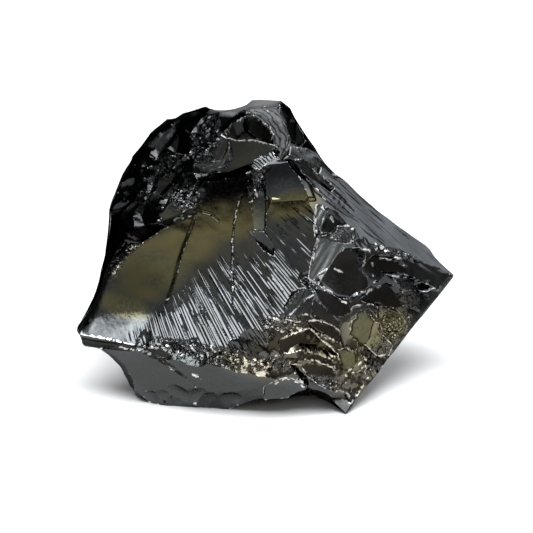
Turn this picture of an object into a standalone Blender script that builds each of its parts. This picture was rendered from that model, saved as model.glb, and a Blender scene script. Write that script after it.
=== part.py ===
"""A nugget of shungite: one piece of glossy black stone, broken along curved scars.

The stone is worked out as the reach from a point inside it, its heart, to the surface, in every direction.
The reach starts at the flat faces of the hull of its corners. Each scar then takes a bite out of it, as the
flakes did that were struck off the real stone, and small chips crumble the ridges where they are broken.
"""

import math
import random

import bmesh
import bpy
import numpy as np
from mathutils import Vector, noise

MM = 0.001

# Corners and scars are written in millimetres as an eye sees them from in front of the stone, 20 degrees
# above it: (right, up) where they are seen against the plane through the stone's middle, and how near.
# Everything is turned upright, and stood on its base, at the very end.
FRONT_TILT = math.radians(20.0)
EYE = 350.0
HEART = np.array((0.5, 1.0, -1.0))
FLOOR = -15.9  # height of the surface that the stone lies on, relative to the frame's middle
UNDER_FLOOR = 0.4  # how far under it the lowest corners are before the base is cut flat, mm
MIDDLE = np.array((-0.4, 1.7))  # middle of the stone over the floor: to the right, and away from the eye

GRID = 27  # squares along each side of the cube that the directions come from
FRONT_CROWDING = 0.3  # how much the directions crowd towards the front, from 0 to 1
STRETCH = np.array((1.0, 0.75, 0.58))  # the stone's rough proportions, which even out the directions
EDGE_PULL = 0.02  # how weakly a vertex is held to the middle of its patch when it is drawn to an edge
SLOW_SWAY = (2.5, 0.03)  # how often the edges sway on the sphere of directions, and how far
FAST_SWAY = (9.0, 0.006)
SWAY_SHIFTS = ((0.0, 0.0, 0.0), (19.1, 7.3, 3.7), (5.9, 31.7, 11.3))  # apart, so that each way sways by itself
FLAT_WITHIN = 0.03  # a vertex this close to the floor lies on it, mm
DEPTH_RANGE = 26.0  # the stone lies within so much of its middle, nearer or farther, mm
DEPTH_STEPS = 60  # how finely a place's depth is looked for, and how many times over
DEPTH_ROUNDS = 3
PATCH_STEP = 0.002  # how far aside a patch's slope is measured, in radians
FARTHEST_PULL = 0.8  # the most that a vertex is moved to an edge, for the size of the patches round it
BLACK = (0.05, 0.05, 0.048, 1.0)


def seen(right, up, near):
    """The point that the eye sees at this place, so near to it."""
    closer = 1 - near / EYE
    return (right * closer, up * closer, near)


def on_floor(right, near):
    """A point just under the resting surface, so far to the right and so near."""
    up = (FLOOR - UNDER_FLOOR - near * math.sin(FRONT_TILT)) / math.cos(FRONT_TILT)
    return (right, up, near)


CORNERS = {
    "left tip": seen(-24.9, -9.1, 2.6),
    "left foot": seen(-19.0, -15.6, 0.0),
    "left base": on_floor(-14.6, 2.7),
    "middle base": on_floor(-9.0, 3.6),
    "right base": on_floor(9.9, 6.4),
    "right base inner": on_floor(11.2, 4.8),
    "back base left": on_floor(-9.0, -10.5),
    "back base right": on_floor(9.0, -12.5),
    "right tip": seen(24.6, -0.6, -5.0),
    "right tip upper": seen(23.9, 0.7, -6.0),
    "right shoulder": seen(17.2, 5.8, -8.5),
    "right knob": seen(7.0, 16.6, -5.0),
    "right neck": seen(4.0, 19.4, -4.5),
    "top": seen(1.9, 21.8, -4.0),
    "top left": seen(-0.8, 22.0, -5.0),
    "dome right": seen(-9.0, 21.3, -6.5),
    "dome top": seen(-12.2, 20.1, -6.5),
    "dome": seen(-15.2, 17.7, -6.5),
    "left shoulder": seen(-18.2, 14.0, -6.5),
    "left side": seen(-21.0, 8.6, -6.0),
    "left side lower": seen(-22.0, 1.6, -4.5),
    "ridge left": seen(-16.3, -10.3, 5.4),
    "ridge middle": seen(-6.8, -12.6, 9.2),
    "ridge right": seen(1.4, -15.0, 9.8),
    "crest low": seen(5.8, -2.0, 10.2),
    "crest high": seen(7.0, 5.0, 9.0),
    "crest top": seen(3.3, 13.8, 6.4),
    "rim": seen(-9.4, 9.0, 6.4),
    "cheek": seen(-14.0, 10.5, 3.4),
    "brow": seen(-3.0, 18.6, 2.4),
    "back high": seen(-4.0, 14.5, -14.5),
    "back left": seen(-15.0, 3.0, -13.0),
    "back right": seen(13.0, 2.0, -15.5),
    "back low": seen(0.0, -5.0, -16.5),
}

# Each scar: where it is seen (right, up), or a point (right, up, near) that its middle lies out beyond;
# which way it faces (degrees to the right, degrees up); its half widths along and across; how deep it
# bites; and how far its length is turned in its own plane, in degrees.
SCARS = {
    "great face": ((-7.0, 0.0), (-16.7, 7.6), (24.0, 12.2), 2.6, -4),
    "dome": ((-14.4, 10.2), (-41, 23), (12.0, 8.0), 1.3, 40),
    "scoop": ((3.0, 6.0), (-8, 8), (8.0, 4.0), 1.6, 84),
    "cave": ((-3.0, 14.8), (-10, 10), (5.4, 4.2), 2.9, 20),
    "cave left": ((-7.2, 14.6), (8, 14), (3.2, 2.0), 1.0, 65),
    "crown": ((4.2, 17.2), (50, 30), (3.6, 2.0), 0.4, -50),
    "knob": ((6.0, 14.4), (52, 20), (2.2, 1.1), 0.3, -50),
    "slab": ((16.5, 4.2), (47, 31), (11.5, 3.4), 0.4, -40),
    "flow": ((8.2, 9.8), (44, 30), (7.4, 1.9), 0.5, -44),
    "shell": ((10.4, -0.8), (34, -6), (3.7, 3.4), 1.3, 60),
    "shell right": ((15.2, -3.4), (36, -8), (3.8, 2.3), 1.0, -10),
    "shell far": ((18.0, -0.4), (36, 10), (4.0, 1.7), 0.7, -22),
    "green upper": ((7.5, 5.6), (24, 14), (3.0, 1.3), 0.5, 80),
    "green lower": ((8.0, 1.0), (14, 6), (3.2, 1.5), 0.5, 58),
    "fan": ((10.2, 4.3), (34, 14), (2.2, 1.5), 0.5, 10),
    "grey chip": ((4.6, -4.6), (0, 8), (3.4, 2.0), 0.7, 55),
    "brown chip": ((8.2, -5.0), (22, -4), (3.0, 2.4), 0.8, 0),
    "ledge 1": ((6.0, -8.2), (14, -24), (5.2, 1.6), 0.9, -4),
    "ledge 2": ((5.6, -10.2), (12, -20), (4.8, 1.5), 0.9, -8),
    "ledge 3": ((6.6, -12.6), (14, -26), (4.8, 1.7), 1.0, -12),
    "olive chip": ((12.9, -8.4), (38, 2), (3.4, 2.1), 0.8, 70),
    "olive chip low": ((11.1, -12.2), (36, 2), (1.8, 1.5), 0.6, 20),
    "arch": ((2.4, -17.6, 4.0), (0, -88), (8.2, 11.0), 2.4, 0),
    "arch top": ((5.4, -16.6, 5.0), (6, -86), (3.2, 8.0), 1.4, 0),
    "slab far": ((13.0, 11.0, -7.0), (97, 46), (12.5, 6.0), 1.5, 85),
    "under the knob": ((9.2, 13.6, -5.0), (84, 46), (2.4, 4.0), 0.9, 0),
    "blade": ((8.8, -17.4), (16, -40), (2.6, 1.2), 0.4, -40),
    "chin": ((-20.8, -13.0, 0.5), (-50, -48), (3.6, 3.6), 1.2, 0),
    "left flank": ((-20.2, 4.0, -2.0), (-56, 16), (6.0, 2.4), 0.4, 80),
    "leaf": ((-14.2, 16.8), (-40, 36), (3.0, 1.4), 0.4, 40),
    "saddle": ((-5.2, 21.0, -5.0), (0, 84), (3.0, 5.0), 1.2, 0),
    "back upper": ((-8.0, 10.0, -14.0), (-150, 18), (13.0, 9.0), 2.4, 30),
    "back middle": ((5.0, 4.0, -15.0), (168, 8), (12.0, 8.5), 2.2, -20),
    "back right low": ((13.0, -6.0, -12.0), (140, -22), (10.0, 7.0), 1.8, 20),
    "back left low": ((-12.0, -8.0, -12.0), (-146, -24), (9.0, 7.0), 2.0, -15),
    "left side hollow": ((-18.0, -4.0, -8.0), (-105, -8), (8.0, 5.0), 1.3, 60),
    "top hollow": ((-4.0, 20.0, -10.0), (-160, 60), (6.0, 3.5), 0.8, 0),
    "right back edge": ((19.0, 1.0, -10.0), (120, 30), (6.0, 3.0), 0.7, -30),
}

# Where the stone is crumbled by small chips: the zone's middle as seen, its half widths, its lie, which way
# the chips face, how many there are, and the least and most half width of one.
CRUMBLES = {
    "lower ridge": ((-8.0, -12.1), (8.2, 0.8), -14, (-10, -10), 40, (0.5, 1.0)),
    "dome": ((-15.0, 11.6), (4.6, 3.6), 55, (-38, 24), 46, (0.7, 1.7)),
    "dome top": ((-8.8, 17.8), (2.2, 3.0), 0, (-20, 24), 30, (0.6, 1.2)),
    "under the rim": ((-11.4, 8.2), (3.0, 1.3), 24, (-30, 4), 22, (0.6, 1.2)),
    "lower right": ((5.0, -11.4), (6.0, 3.2), -10, (14, -12), 46, (0.6, 1.4)),
    "right edge": ((15.6, -9.4), (7.8, 1.4), 49, (36, 0), 48, (0.5, 1.2)),
    "right middle": ((11.5, -4.4), (5.2, 1.4), -8, (32, 0), 24, (0.6, 1.3)),
    "step": ((-1.2, 6.4), (4.8, 0.7), 82, (-10, 6), 20, (0.5, 1.0)),
}
BACK_CHIPS = 46
BACK_CHIP_SIZES = (1.4, 3.6)
BACK_CHIP_DEPTH = 0.17  # for its half width
BACK_CHIP_TILT = 0.16
BACK_RIGHT = (-74, 74)  # how far round from the very back the chips there are, and how high, in degrees
BACK_UP = (-50, 60)
CHIP_DEPTH = 0.3  # a chip's depth for its half width
CHIP_LONGEST = 2.0  # how much longer than wide it may be
CHIP_STRAY = 16  # how far, in degrees, its facing strays


def turned(right_deg, up_deg):
    """The direction that faces so many degrees to the right of the viewer and so many above."""
    a, b = math.radians(right_deg), math.radians(up_deg)
    return np.array((math.sin(a) * math.cos(b), math.sin(b), math.cos(a) * math.cos(b)))


def unit(vectors):
    return vectors / np.linalg.norm(vectors, axis=-1, keepdims=True)


def hull_planes(points):
    """Outward normals and distances from the heart of the flat faces of the points' convex hull."""
    work = bmesh.new()
    for point in points:
        work.verts.new(point)
    bmesh.ops.convex_hull(work, input=work.verts)
    normals = np.array([face.normal for face in work.faces])
    corners = np.array([face.verts[0].co for face in work.faces])
    work.free()
    distances = ((corners - HEART) * normals).sum(axis=1)
    return normals * np.sign(distances)[:, None], np.abs(distances)


class Scar:
    """An ellipsoid that takes a bite out of the stone, like the hollow of a flake struck off it."""

    def __init__(self, where, facing, half_widths, depth, lie):
        side = unit(np.cross((0.0, 1.0, 0.0), facing))
        rise = np.cross(facing, side)
        a = math.radians(lie)
        along = side * math.cos(a) + rise * math.sin(a)
        across = np.cross(facing, along)
        width = math.sqrt(half_widths[0] * half_widths[1])
        radius = (width**2 + depth**2) / (2 * depth)
        self.middle = where - HEART + facing * (radius - depth)
        shape = np.array((along * width / half_widths[0], across * width / half_widths[1], facing))
        self.squash = shape / radius
        farthest = max(half_widths) / width * radius
        distance = np.linalg.norm(self.middle)
        self.aim = self.middle / distance
        self.spread = -1.0 if farthest >= distance else math.cos(math.asin(farthest / distance))

    def reach(self, directions):
        """How far each ray from the heart goes before it meets the ellipsoid."""
        steps = directions @ self.squash.T
        start = -self.squash @ self.middle
        a = (steps**2).sum(axis=1)
        b = steps @ start
        inner = b**2 - a * (start @ start - 1.0)
        hit = (inner > 0) & (b < 0)
        return np.where(hit, (-b - np.sqrt(np.maximum(inner, 0.0))) / a, np.inf)


class Stone:
    """The stone's reach from its heart: the hull's flat faces and the scars bitten out of them so far."""

    def __init__(self, corners):
        self.normals, self.distances = hull_planes(corners)
        self.scars = []

    def reach(self, directions):
        """How far the stone reaches from its heart in each direction."""
        toward = directions @ self.normals.T
        far = np.where(toward > 1e-9, self.distances / np.maximum(toward, 1e-9), np.inf)
        reach = far.min(axis=1)
        for scar in self.scars:
            near = directions @ scar.aim > scar.spread
            if near.any():
                reach[near] = np.minimum(reach[near], scar.reach(directions[near]))
        return reach

    def at(self, where):
        """The surface's point at a place that is seen from the front, or out beyond a point inside."""
        if len(where) == 3:
            direction = unit(np.array(where) - HEART)
            return HEART + direction * self.reach(direction[None])[0]
        return self.seen_at([where])[0]

    def seen_at(self, places):
        """The points of the surface that the eye sees at these places."""
        places = np.array(places, dtype=float)
        near = np.full(len(places), DEPTH_RANGE)
        far = np.full(len(places), -DEPTH_RANGE)
        steps = np.linspace(0.0, 1.0, DEPTH_STEPS)
        for _ in range(DEPTH_ROUNDS):
            depths = near[:, None] + (far - near)[:, None] * steps
            closer = 1 - depths / EYE
            points = np.stack((places[:, :1] * closer, places[:, 1:] * closer, depths), axis=-1) - HEART
            lengths = np.linalg.norm(points, axis=-1)
            reach = self.reach((points / lengths[..., None]).reshape(-1, 3)).reshape(lengths.shape)
            first = np.argmax(lengths < reach, axis=1)
            rows = np.arange(len(places))
            near, far = depths[rows, np.maximum(first - 1, 0)], depths[rows, first]
        closer = 1 - far / EYE
        return np.column_stack((places[:, 0] * closer, places[:, 1] * closer, far))


def carved_stone():
    stone = Stone(list(CORNERS.values()))
    for where, facing, half_widths, depth, lie in SCARS.values():
        stone.scars.append(Scar(stone.at(where), turned(*facing), half_widths, depth, lie))
    return stone


def crumble(stone, seed):
    """Chips away the stone in its crumbled zones. Every chip starts at the surface as the scars left it."""
    dice = random.Random(seed)
    places = []
    chips = []
    for (right, up), (long, wide), lie, (faces_right, faces_up), count, sizes in CRUMBLES.values():
        a = math.radians(lie)
        for _ in range(count):
            along = dice.uniform(-long, long)
            across = dice.uniform(-wide, wide)
            places.append((
                right + along * math.cos(a) - across * math.sin(a),
                up + along * math.sin(a) + across * math.cos(a),
            ))
            size = dice.uniform(*sizes)
            facing = turned(faces_right + dice.gauss(0, CHIP_STRAY), faces_up + dice.gauss(0, CHIP_STRAY))
            half_widths = (size * dice.uniform(1.0, CHIP_LONGEST), size)
            chips.append((facing, half_widths, size * CHIP_DEPTH, dice.uniform(0, 180)))
    anchors = stone.seen_at(places)
    stone.scars += [Scar(anchor, *chip) for anchor, chip in zip(anchors, chips)]


def chip_back(stone, seed):
    """Shallow chips all over the side of the stone that is turned away."""
    dice = random.Random(seed)
    spread = [(180 + dice.uniform(*BACK_RIGHT), dice.uniform(*BACK_UP)) for _ in range(BACK_CHIPS)]
    aims = np.array([turned(right, up) for right, up in spread])
    points, facing = patches(stone, aims)
    for point, outward in zip(points, facing):
        size = dice.uniform(*BACK_CHIP_SIZES)
        tilt = np.array([dice.gauss(0, BACK_CHIP_TILT) for _ in range(3)])
        half_widths = (size * dice.uniform(1.0, 2.2), size)
        depth = size * BACK_CHIP_DEPTH
        stone.scars.append(Scar(point, unit(outward + tilt), half_widths, depth, dice.uniform(0, 180)))


def swayed(directions):
    """The directions, swayed a little by smooth noise, so that no edge of the stone is quite straight."""
    moved = np.empty_like(directions)
    for row, direction in enumerate(directions):
        place = Vector(direction)
        for often, by in (SLOW_SWAY, FAST_SWAY):
            often_there = Vector(direction) * often
            place += Vector([noise.noise(often_there + Vector(shift)) for shift in SWAY_SHIFTS]) * by
        moved[row] = place
    return unit(moved)


def surface(stone, directions):
    """The points where the stone's surface is, in these directions from its heart. Its base is cut flat."""
    down = np.array((0.0, -math.cos(FRONT_TILT), -math.sin(FRONT_TILT)))
    toward = directions @ down
    under = -FLOOR - HEART @ down
    base = np.where(toward > 1e-9, under / np.maximum(toward, 1e-9), np.inf)
    return HEART + directions * np.minimum(stone.reach(swayed(directions)), base)[:, None]


def direction_grid(squares):
    """A cube's grid of squares pushed out to a rounded shape like the stone's: directions and squares."""
    work = bmesh.new()
    bmesh.ops.create_cube(work, size=2.0)
    bmesh.ops.subdivide_edges(work, edges=work.edges, cuts=squares - 1, use_grid_fill=True)
    cube = np.array([vert.co for vert in work.verts])
    faces = np.array([[vert.index for vert in face.verts] for face in work.faces])
    work.free()
    sphere = unit(np.tan(cube * (math.pi / 4)))
    near = sphere[:, 2:]
    side = sphere[:, :2] * math.sqrt(1 - FRONT_CROWDING**2)
    crowded = np.hstack((side, near + FRONT_CROWDING)) / (1 + FRONT_CROWDING * near)
    return unit(crowded * STRETCH), faces


def patches(stone, directions):
    """The surface's points in these directions, and which way it faces there."""
    step = PATCH_STEP
    aside = unit(np.cross(directions, np.where(np.abs(directions[:, :1]) < 0.8, (1.0, 0, 0), (0, 1.0, 0))))
    above = np.cross(directions, aside)
    points = surface(stone, directions)
    first = surface(stone, unit(directions + aside * step)) - points
    second = surface(stone, unit(directions + above * step)) - points
    facing = unit(np.cross(first, second))
    return points, facing * np.sign((facing * directions).sum(axis=1))[:, None]


def drawn_to_edges(directions, faces, points, facing):
    """Each vertex where the planes of the patches round it meet, so that edges and corners stay sharp."""
    count = len(directions)
    middle = np.zeros((count, 3))
    planes = np.zeros((count, 3, 3))
    target = np.zeros((count, 3))
    used = np.zeros(count)
    outer = facing[:, :, None] * facing[:, None, :]
    pull = facing * (facing * points).sum(axis=1)[:, None]
    for corner in faces.T:
        np.add.at(middle, corner, points)
        np.add.at(planes, corner, outer)
        np.add.at(target, corner, pull)
        np.add.at(used, corner, 1.0)
    middle /= used[:, None]
    planes = planes / used[:, None, None] + np.eye(3) * EDGE_PULL
    target = target / used[:, None] + middle * EDGE_PULL
    moved = np.linalg.solve(planes, target[:, :, None])[:, :, 0] - middle
    size = np.zeros(count)
    for corner in faces.T:
        np.maximum.at(size, corner, np.linalg.norm(points - middle[corner], axis=1))
    length = np.linalg.norm(moved, axis=1)
    return middle + moved * np.minimum(1.0, FARTHEST_PULL * size / np.maximum(length, 1e-9))[:, None]


def split_squares(faces, vertices, points):
    """Two triangles for each square, along the diagonal that lies nearer the surface at its middle."""
    a, b, c, d = (vertices[column] for column in faces.T)
    one = np.linalg.norm((a + c) / 2 - points, axis=1)
    two = np.linalg.norm((b + d) / 2 - points, axis=1)
    along_one = faces[:, [0, 1, 2, 0, 2, 3]]
    along_two = faces[:, [0, 1, 3, 1, 2, 3]]
    return np.where((one <= two)[:, None], along_one, along_two).reshape(-1, 3)


def stone_mesh(stone, squares):
    """The stone's vertices, in the frame of its front, and its triangles."""
    directions, faces = direction_grid(squares)
    points, facing = patches(stone, unit(directions[faces].mean(axis=1)))
    vertices = drawn_to_edges(directions, faces, points, facing)
    return vertices, split_squares(faces, vertices, points)


def upright(vertices):
    """Turns the frame of the stone's front upright, with the resting surface at z = 0, in metres."""
    right, up, near = vertices.T
    away = up * math.sin(FRONT_TILT) - near * math.cos(FRONT_TILT)
    height = up * math.cos(FRONT_TILT) + near * math.sin(FRONT_TILT) - FLOOR
    height = np.where(height < FLAT_WITHIN, 0.0, height)
    return np.column_stack((right - MIDDLE[0], away - MIDDLE[1], height)) * MM


def glossy_black():
    material = bpy.data.materials.new("shungite")
    material.use_nodes = True
    shader = material.node_tree.nodes["Principled BSDF"]
    shader.inputs["Base Color"].default_value = BLACK
    shader.inputs["Metallic"].default_value = 0.6
    shader.inputs["Roughness"].default_value = 0.2
    return material


def make_nugget():
    stone = carved_stone()
    chip_back(stone, seed=5)
    crumble(stone, seed=3)
    vertices, triangles = stone_mesh(stone, GRID)
    mesh = bpy.data.meshes.new("nugget")
    mesh.from_pydata(upright(vertices).tolist(), [], triangles.tolist())
    mesh.materials.append(glossy_black())
    nugget = bpy.data.objects.new("nugget", mesh)
    bpy.context.collection.objects.link(nugget)
    return nugget


def main():
    for thing in list(bpy.data.objects):
        bpy.data.objects.remove(thing)
    make_nugget()


if __name__ == "__main__":
    main()
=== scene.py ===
"""The looks of the shungite nugget: its fine surface, its glossy black material, and a plain studio.

The stone is made again by the rule that its solid follows, in the same frame: the reach from its heart to
the surface, in every direction. Here the rule runs on a far finer grid of directions, and the stone carries
what is too small for the solid: flat faces within outlines, ribs, the hackles of the great face, hairline
cracks, the raised rims of chips, and crumbs along the ridges. Its material paints highlights along edges and
rims, shade in hollows, cracks and grooves and on the lower faces, a sheen on some faces, and olive and brown
tints that are partly warm reflections.
"""

import collections
import math
import random

import bmesh
import bpy
import numpy as np
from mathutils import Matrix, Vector, noise


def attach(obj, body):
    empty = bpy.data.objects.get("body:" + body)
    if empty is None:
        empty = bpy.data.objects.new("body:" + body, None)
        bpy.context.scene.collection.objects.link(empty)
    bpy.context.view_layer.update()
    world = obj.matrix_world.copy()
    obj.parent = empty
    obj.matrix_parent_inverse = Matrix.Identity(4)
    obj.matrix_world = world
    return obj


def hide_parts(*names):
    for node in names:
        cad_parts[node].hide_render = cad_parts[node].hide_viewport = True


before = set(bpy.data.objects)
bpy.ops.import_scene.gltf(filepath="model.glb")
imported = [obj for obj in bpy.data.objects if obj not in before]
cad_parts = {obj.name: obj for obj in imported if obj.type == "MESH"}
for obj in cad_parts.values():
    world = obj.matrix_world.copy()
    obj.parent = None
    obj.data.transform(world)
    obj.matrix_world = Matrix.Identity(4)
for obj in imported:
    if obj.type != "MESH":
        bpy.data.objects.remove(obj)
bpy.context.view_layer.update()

MM = 0.001
IMAGE_SIDE = 533  # pixels
PIXELS_PER_MM = 7.6  # at the plane through the stone's middle

# Places are in millimetres as the camera sees them, (right, up) against the plane through the stone's
# middle, and how near. Everything is turned upright, and stood on its base, at the very end.
FRONT_TILT = math.radians(20.0)
EYE = 350.0
HEART = np.array((0.5, 1.0, -5.0))
FLOOR = -15.9  # height of the surface that the stone lies on, relative to the frame's middle
UNDER_FLOOR = 0.4  # how far under it the lowest corners are before the base is cut flat, mm
MIDDLE = np.array((-0.4, 1.7))  # middle of the stone over the floor: to the right, and away from the eye

GRID = 128  # squares along each side of the cube that the directions come from
FRONT_CROWDING = 0.58  # how much the directions crowd towards the front, from 0 to 1
STRETCH = np.array((1.0, 0.75, 0.58))  # the stone's rough proportions, which even out the directions
EDGE_PULL = 0.02  # how weakly a vertex is held to the middle of its patch when it is drawn to an edge
FARTHEST_PULL = 0.8  # the most that a vertex is moved to an edge, for the size of the patches round it
PATCH_STEP = 0.002  # how far aside a patch's slope is measured, in radians
PLAIN_STEP = 0.03  # the same where a chip lies along the surface and heeds no fine relief
SLOW_SWAY = (2.5, 0.03)  # how often the edges sway on the sphere of directions, and how far
FAST_SWAY = (9.0, 0.006)
SWAY_SHIFTS = ((0.0, 0.0, 0.0), (19.1, 7.3, 3.7), (5.9, 31.7, 11.3))  # apart: each way sways by itself
FLAT_WITHIN = 0.03  # a vertex this close to the floor lies on it, mm
FRONT = -6.0  # what lies nearer than this is seen from the front
FADE = (-2.0, 1.0)  # over these nearnesses what is coloured on the front fades in
NEAREST = 14.0  # all of the stone lies farther than this
LEAST_ALONG = 0.8  # a chip has to lie nearly along the surface: the least cosine between the ways they face
STEEPEST = 0.35  # the least cosine between a ray and a scar's facing that its relief is divided by
FLATTEST = 0.1  # the same for a face
DEPTH_RANGE = 26.0  # the stone lies within so much of its middle, nearer or farther, mm
DEPTH_STEPS = 60  # how finely a place's depth is looked for, and how many times over
DEPTH_ROUNDS = 3
SHARP = math.radians(30)  # edges sharper than this aren't shaded smooth
TINY = 1e-9  # stands in for zero under a division

# Each corner: where it is seen and how near. With two numbers it is on the floor, so far right and so near.
CORNERS = {
    "left tip": (-25.2, -9.2, 3.2),
    "left foot": (-19.0, -15.6, 0.0),
    "left base": (-14.6, 2.7),
    "middle base": (-9.0, 3.6),
    "right base": (9.7, 6.4),
    "right base inner": (10.3, 5.0),
    "back base left": (-9.0, -10.5),
    "back base right": (9.0, -12.5),
    "right tip": (24.7, -0.9, -5.0),
    "right tip upper": (24.2, 0.6, -6.0),
    "right shoulder": (17.2, 5.8, -8.5),
    "right knob": (8.0, 17.2, -5.0),
    "right neck": (4.7, 19.1, -4.5),
    "top": (1.9, 21.8, -4.0),
    "top left": (-0.8, 22.0, -5.0),
    "dome right": (-9.0, 21.3, -6.5),
    "dome top": (-12.2, 20.1, -6.5),
    "dome": (-15.2, 17.7, -6.5),
    "left shoulder": (-18.2, 14.0, -6.5),
    "left side": (-20.5, 8.5, -6.0),
    "left side lower": (-22.0, 1.6, -4.5),
    "ridge left": (-16.3, -10.4, 6.2),
    "ridge middle": (-6.8, -12.6, 9.6),
    "ridge right": (1.4, -15.0, 9.8),
    "crest low": (5.8, -2.0, 10.2),
    "crest high": (7.0, 5.0, 9.0),
    "crest top": (3.3, 13.8, 6.4),
    "rim": (-9.4, 9.0, 6.4),
    "cheek": (-14.0, 10.5, 3.4),
    "brow": (-3.2, 19.4, 4.0),
    "rim middle": (-4.0, 12.9, 7.1),
    "back high": (-4.0, 14.5, -13.9),
    "back left": (-15.0, 3.0, -13.0),
    "back right": (13.0, 2.0, -15.5),
    "back low": (0.0, -5.0, -16.5),
}

# Each scar: where it is seen (right, up), or a point (right, up, near) that its middle lies out beyond;
# which way it faces (degrees to the right, degrees up); its half widths along and across; how deep it
# bites; and how far its length is turned in its own plane, in degrees.
SCARS = {
    "great face": ((-7.0, 0.0), (-17.9, 7.5), (32.8, 13.4), 2.3, 0),
    "dome": ((-13.4, 9.4), (-41, 22), (12.0, 9.6), 1.3, 40),
    "scoop": ((3.0, 6.0), (-8, 1), (8.0, 7.6), 1.1, 84),
    "step": ((-1.0, 7.6), (4, 13), (3.2, 1.3), 0.5, 82),
    "crown": ((4.2, 17.2), (50, 30), (3.6, 2.0), 0.4, -50),
    "knob": ((6.0, 14.4), (52, 20), (2.2, 1.1), 0.3, -50),
    "slab": ((15.0, 5.2), (47, 31), (10.0, 3.0), 0.25, -40),
    "flow": ((8.2, 9.8), (44, 30), (7.4, 1.9), 0.5, -44),
    "shell": ((10.4, -0.8), (34, 4), (3.7, 3.4), 0.9, 60),
    "shell right": ((15.2, -3.4), (36, 4), (3.8, 2.3), 0.8, -10),
    "brown chip": ((8.2, -5.0), (24, 0), (3.0, 2.4), 0.6, 0),
    "arch": ((2.0, -17.6, 4.0), (0, -88), (7.8, 11.0), 2.4, 0),
    "arch top": ((5.2, -16.6, 5.0), (6, -86), (3.0, 8.0), 1.4, 0),
    "slab far": ((14.2, 9.8, -7.0), (97, 46), (14.0, 6.4), 1.75, 85),
    "under the knob": ((9.2, 13.6, -5.0), (84, 46), (2.4, 4.0), 0.9, 0),
    "left strip": ((-22.6, -3.4, 0.8), (-66, 20), (6.4, 2.6), 0.8, 66),
    "lip": ((-19.4, -10.2), (-24, -4), (5.4, 0.7), 0.14, -8),
    "chin": ((-20.8, -13.0, 0.5), (-50, -48), (3.6, 3.6), 1.2, 0),
    "left side hollow": ((-22.6, -0.6, -3.0), (-84, 14), (9.0, 5.0), 1.1, 90),
    "cave edge": ((-6.9, 13.9), (-16, 2), (1.5, 2.0), 0.45, 80),
    "saddle": ((-5.2, 21.0, -5.0), (0, 84), (3.0, 5.0), 1.2, 0),
    "back upper": ((-8.0, 10.0, -14.0), (-150, 18), (13.0, 9.0), 2.4, 30),
    "back middle": ((5.0, 4.0, -15.0), (168, 8), (12.0, 8.5), 2.2, -20),
    "back right low": ((10.5, -7.0, -13.0), (146, -22), (8.0, 6.0), 1.5, 20),
    "back left low": ((-12.0, -8.0, -12.0), (-146, -24), (9.0, 7.0), 2.0, -15),
    "top hollow": ((-4.0, 20.0, -10.0), (-160, 60), (6.0, 3.5), 0.8, 0),
    "right back edge": ((19.0, 1.0, -10.0), (120, 30), (6.0, 3.0), 0.7, -30),
}

# The cave under the top: the flat faces that it is cut back to, each as a point on it and its facing.
CAVE = {
    "back": ((-2.5, 15.0, 4.2), (-9, 4)),
    "floor": ((-3.0, 11.9, 5.0), (-4, 70)),
    "floor right": ((-0.9, 13.7, 5.0), (-46, 56)),
    "left": ((-8.6, 14.4, 3.6), (56, 6)),
    "right": ((0.7, 15.4, 4.4), (-46, 18)),
}
CAVE_SPREAD = math.radians(50)  # it is looked for within so much of the way to its middle
CAVE_STEEPEST = 0.02  # a ray that goes more nearly along one of its faces doesn't meet it

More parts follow.
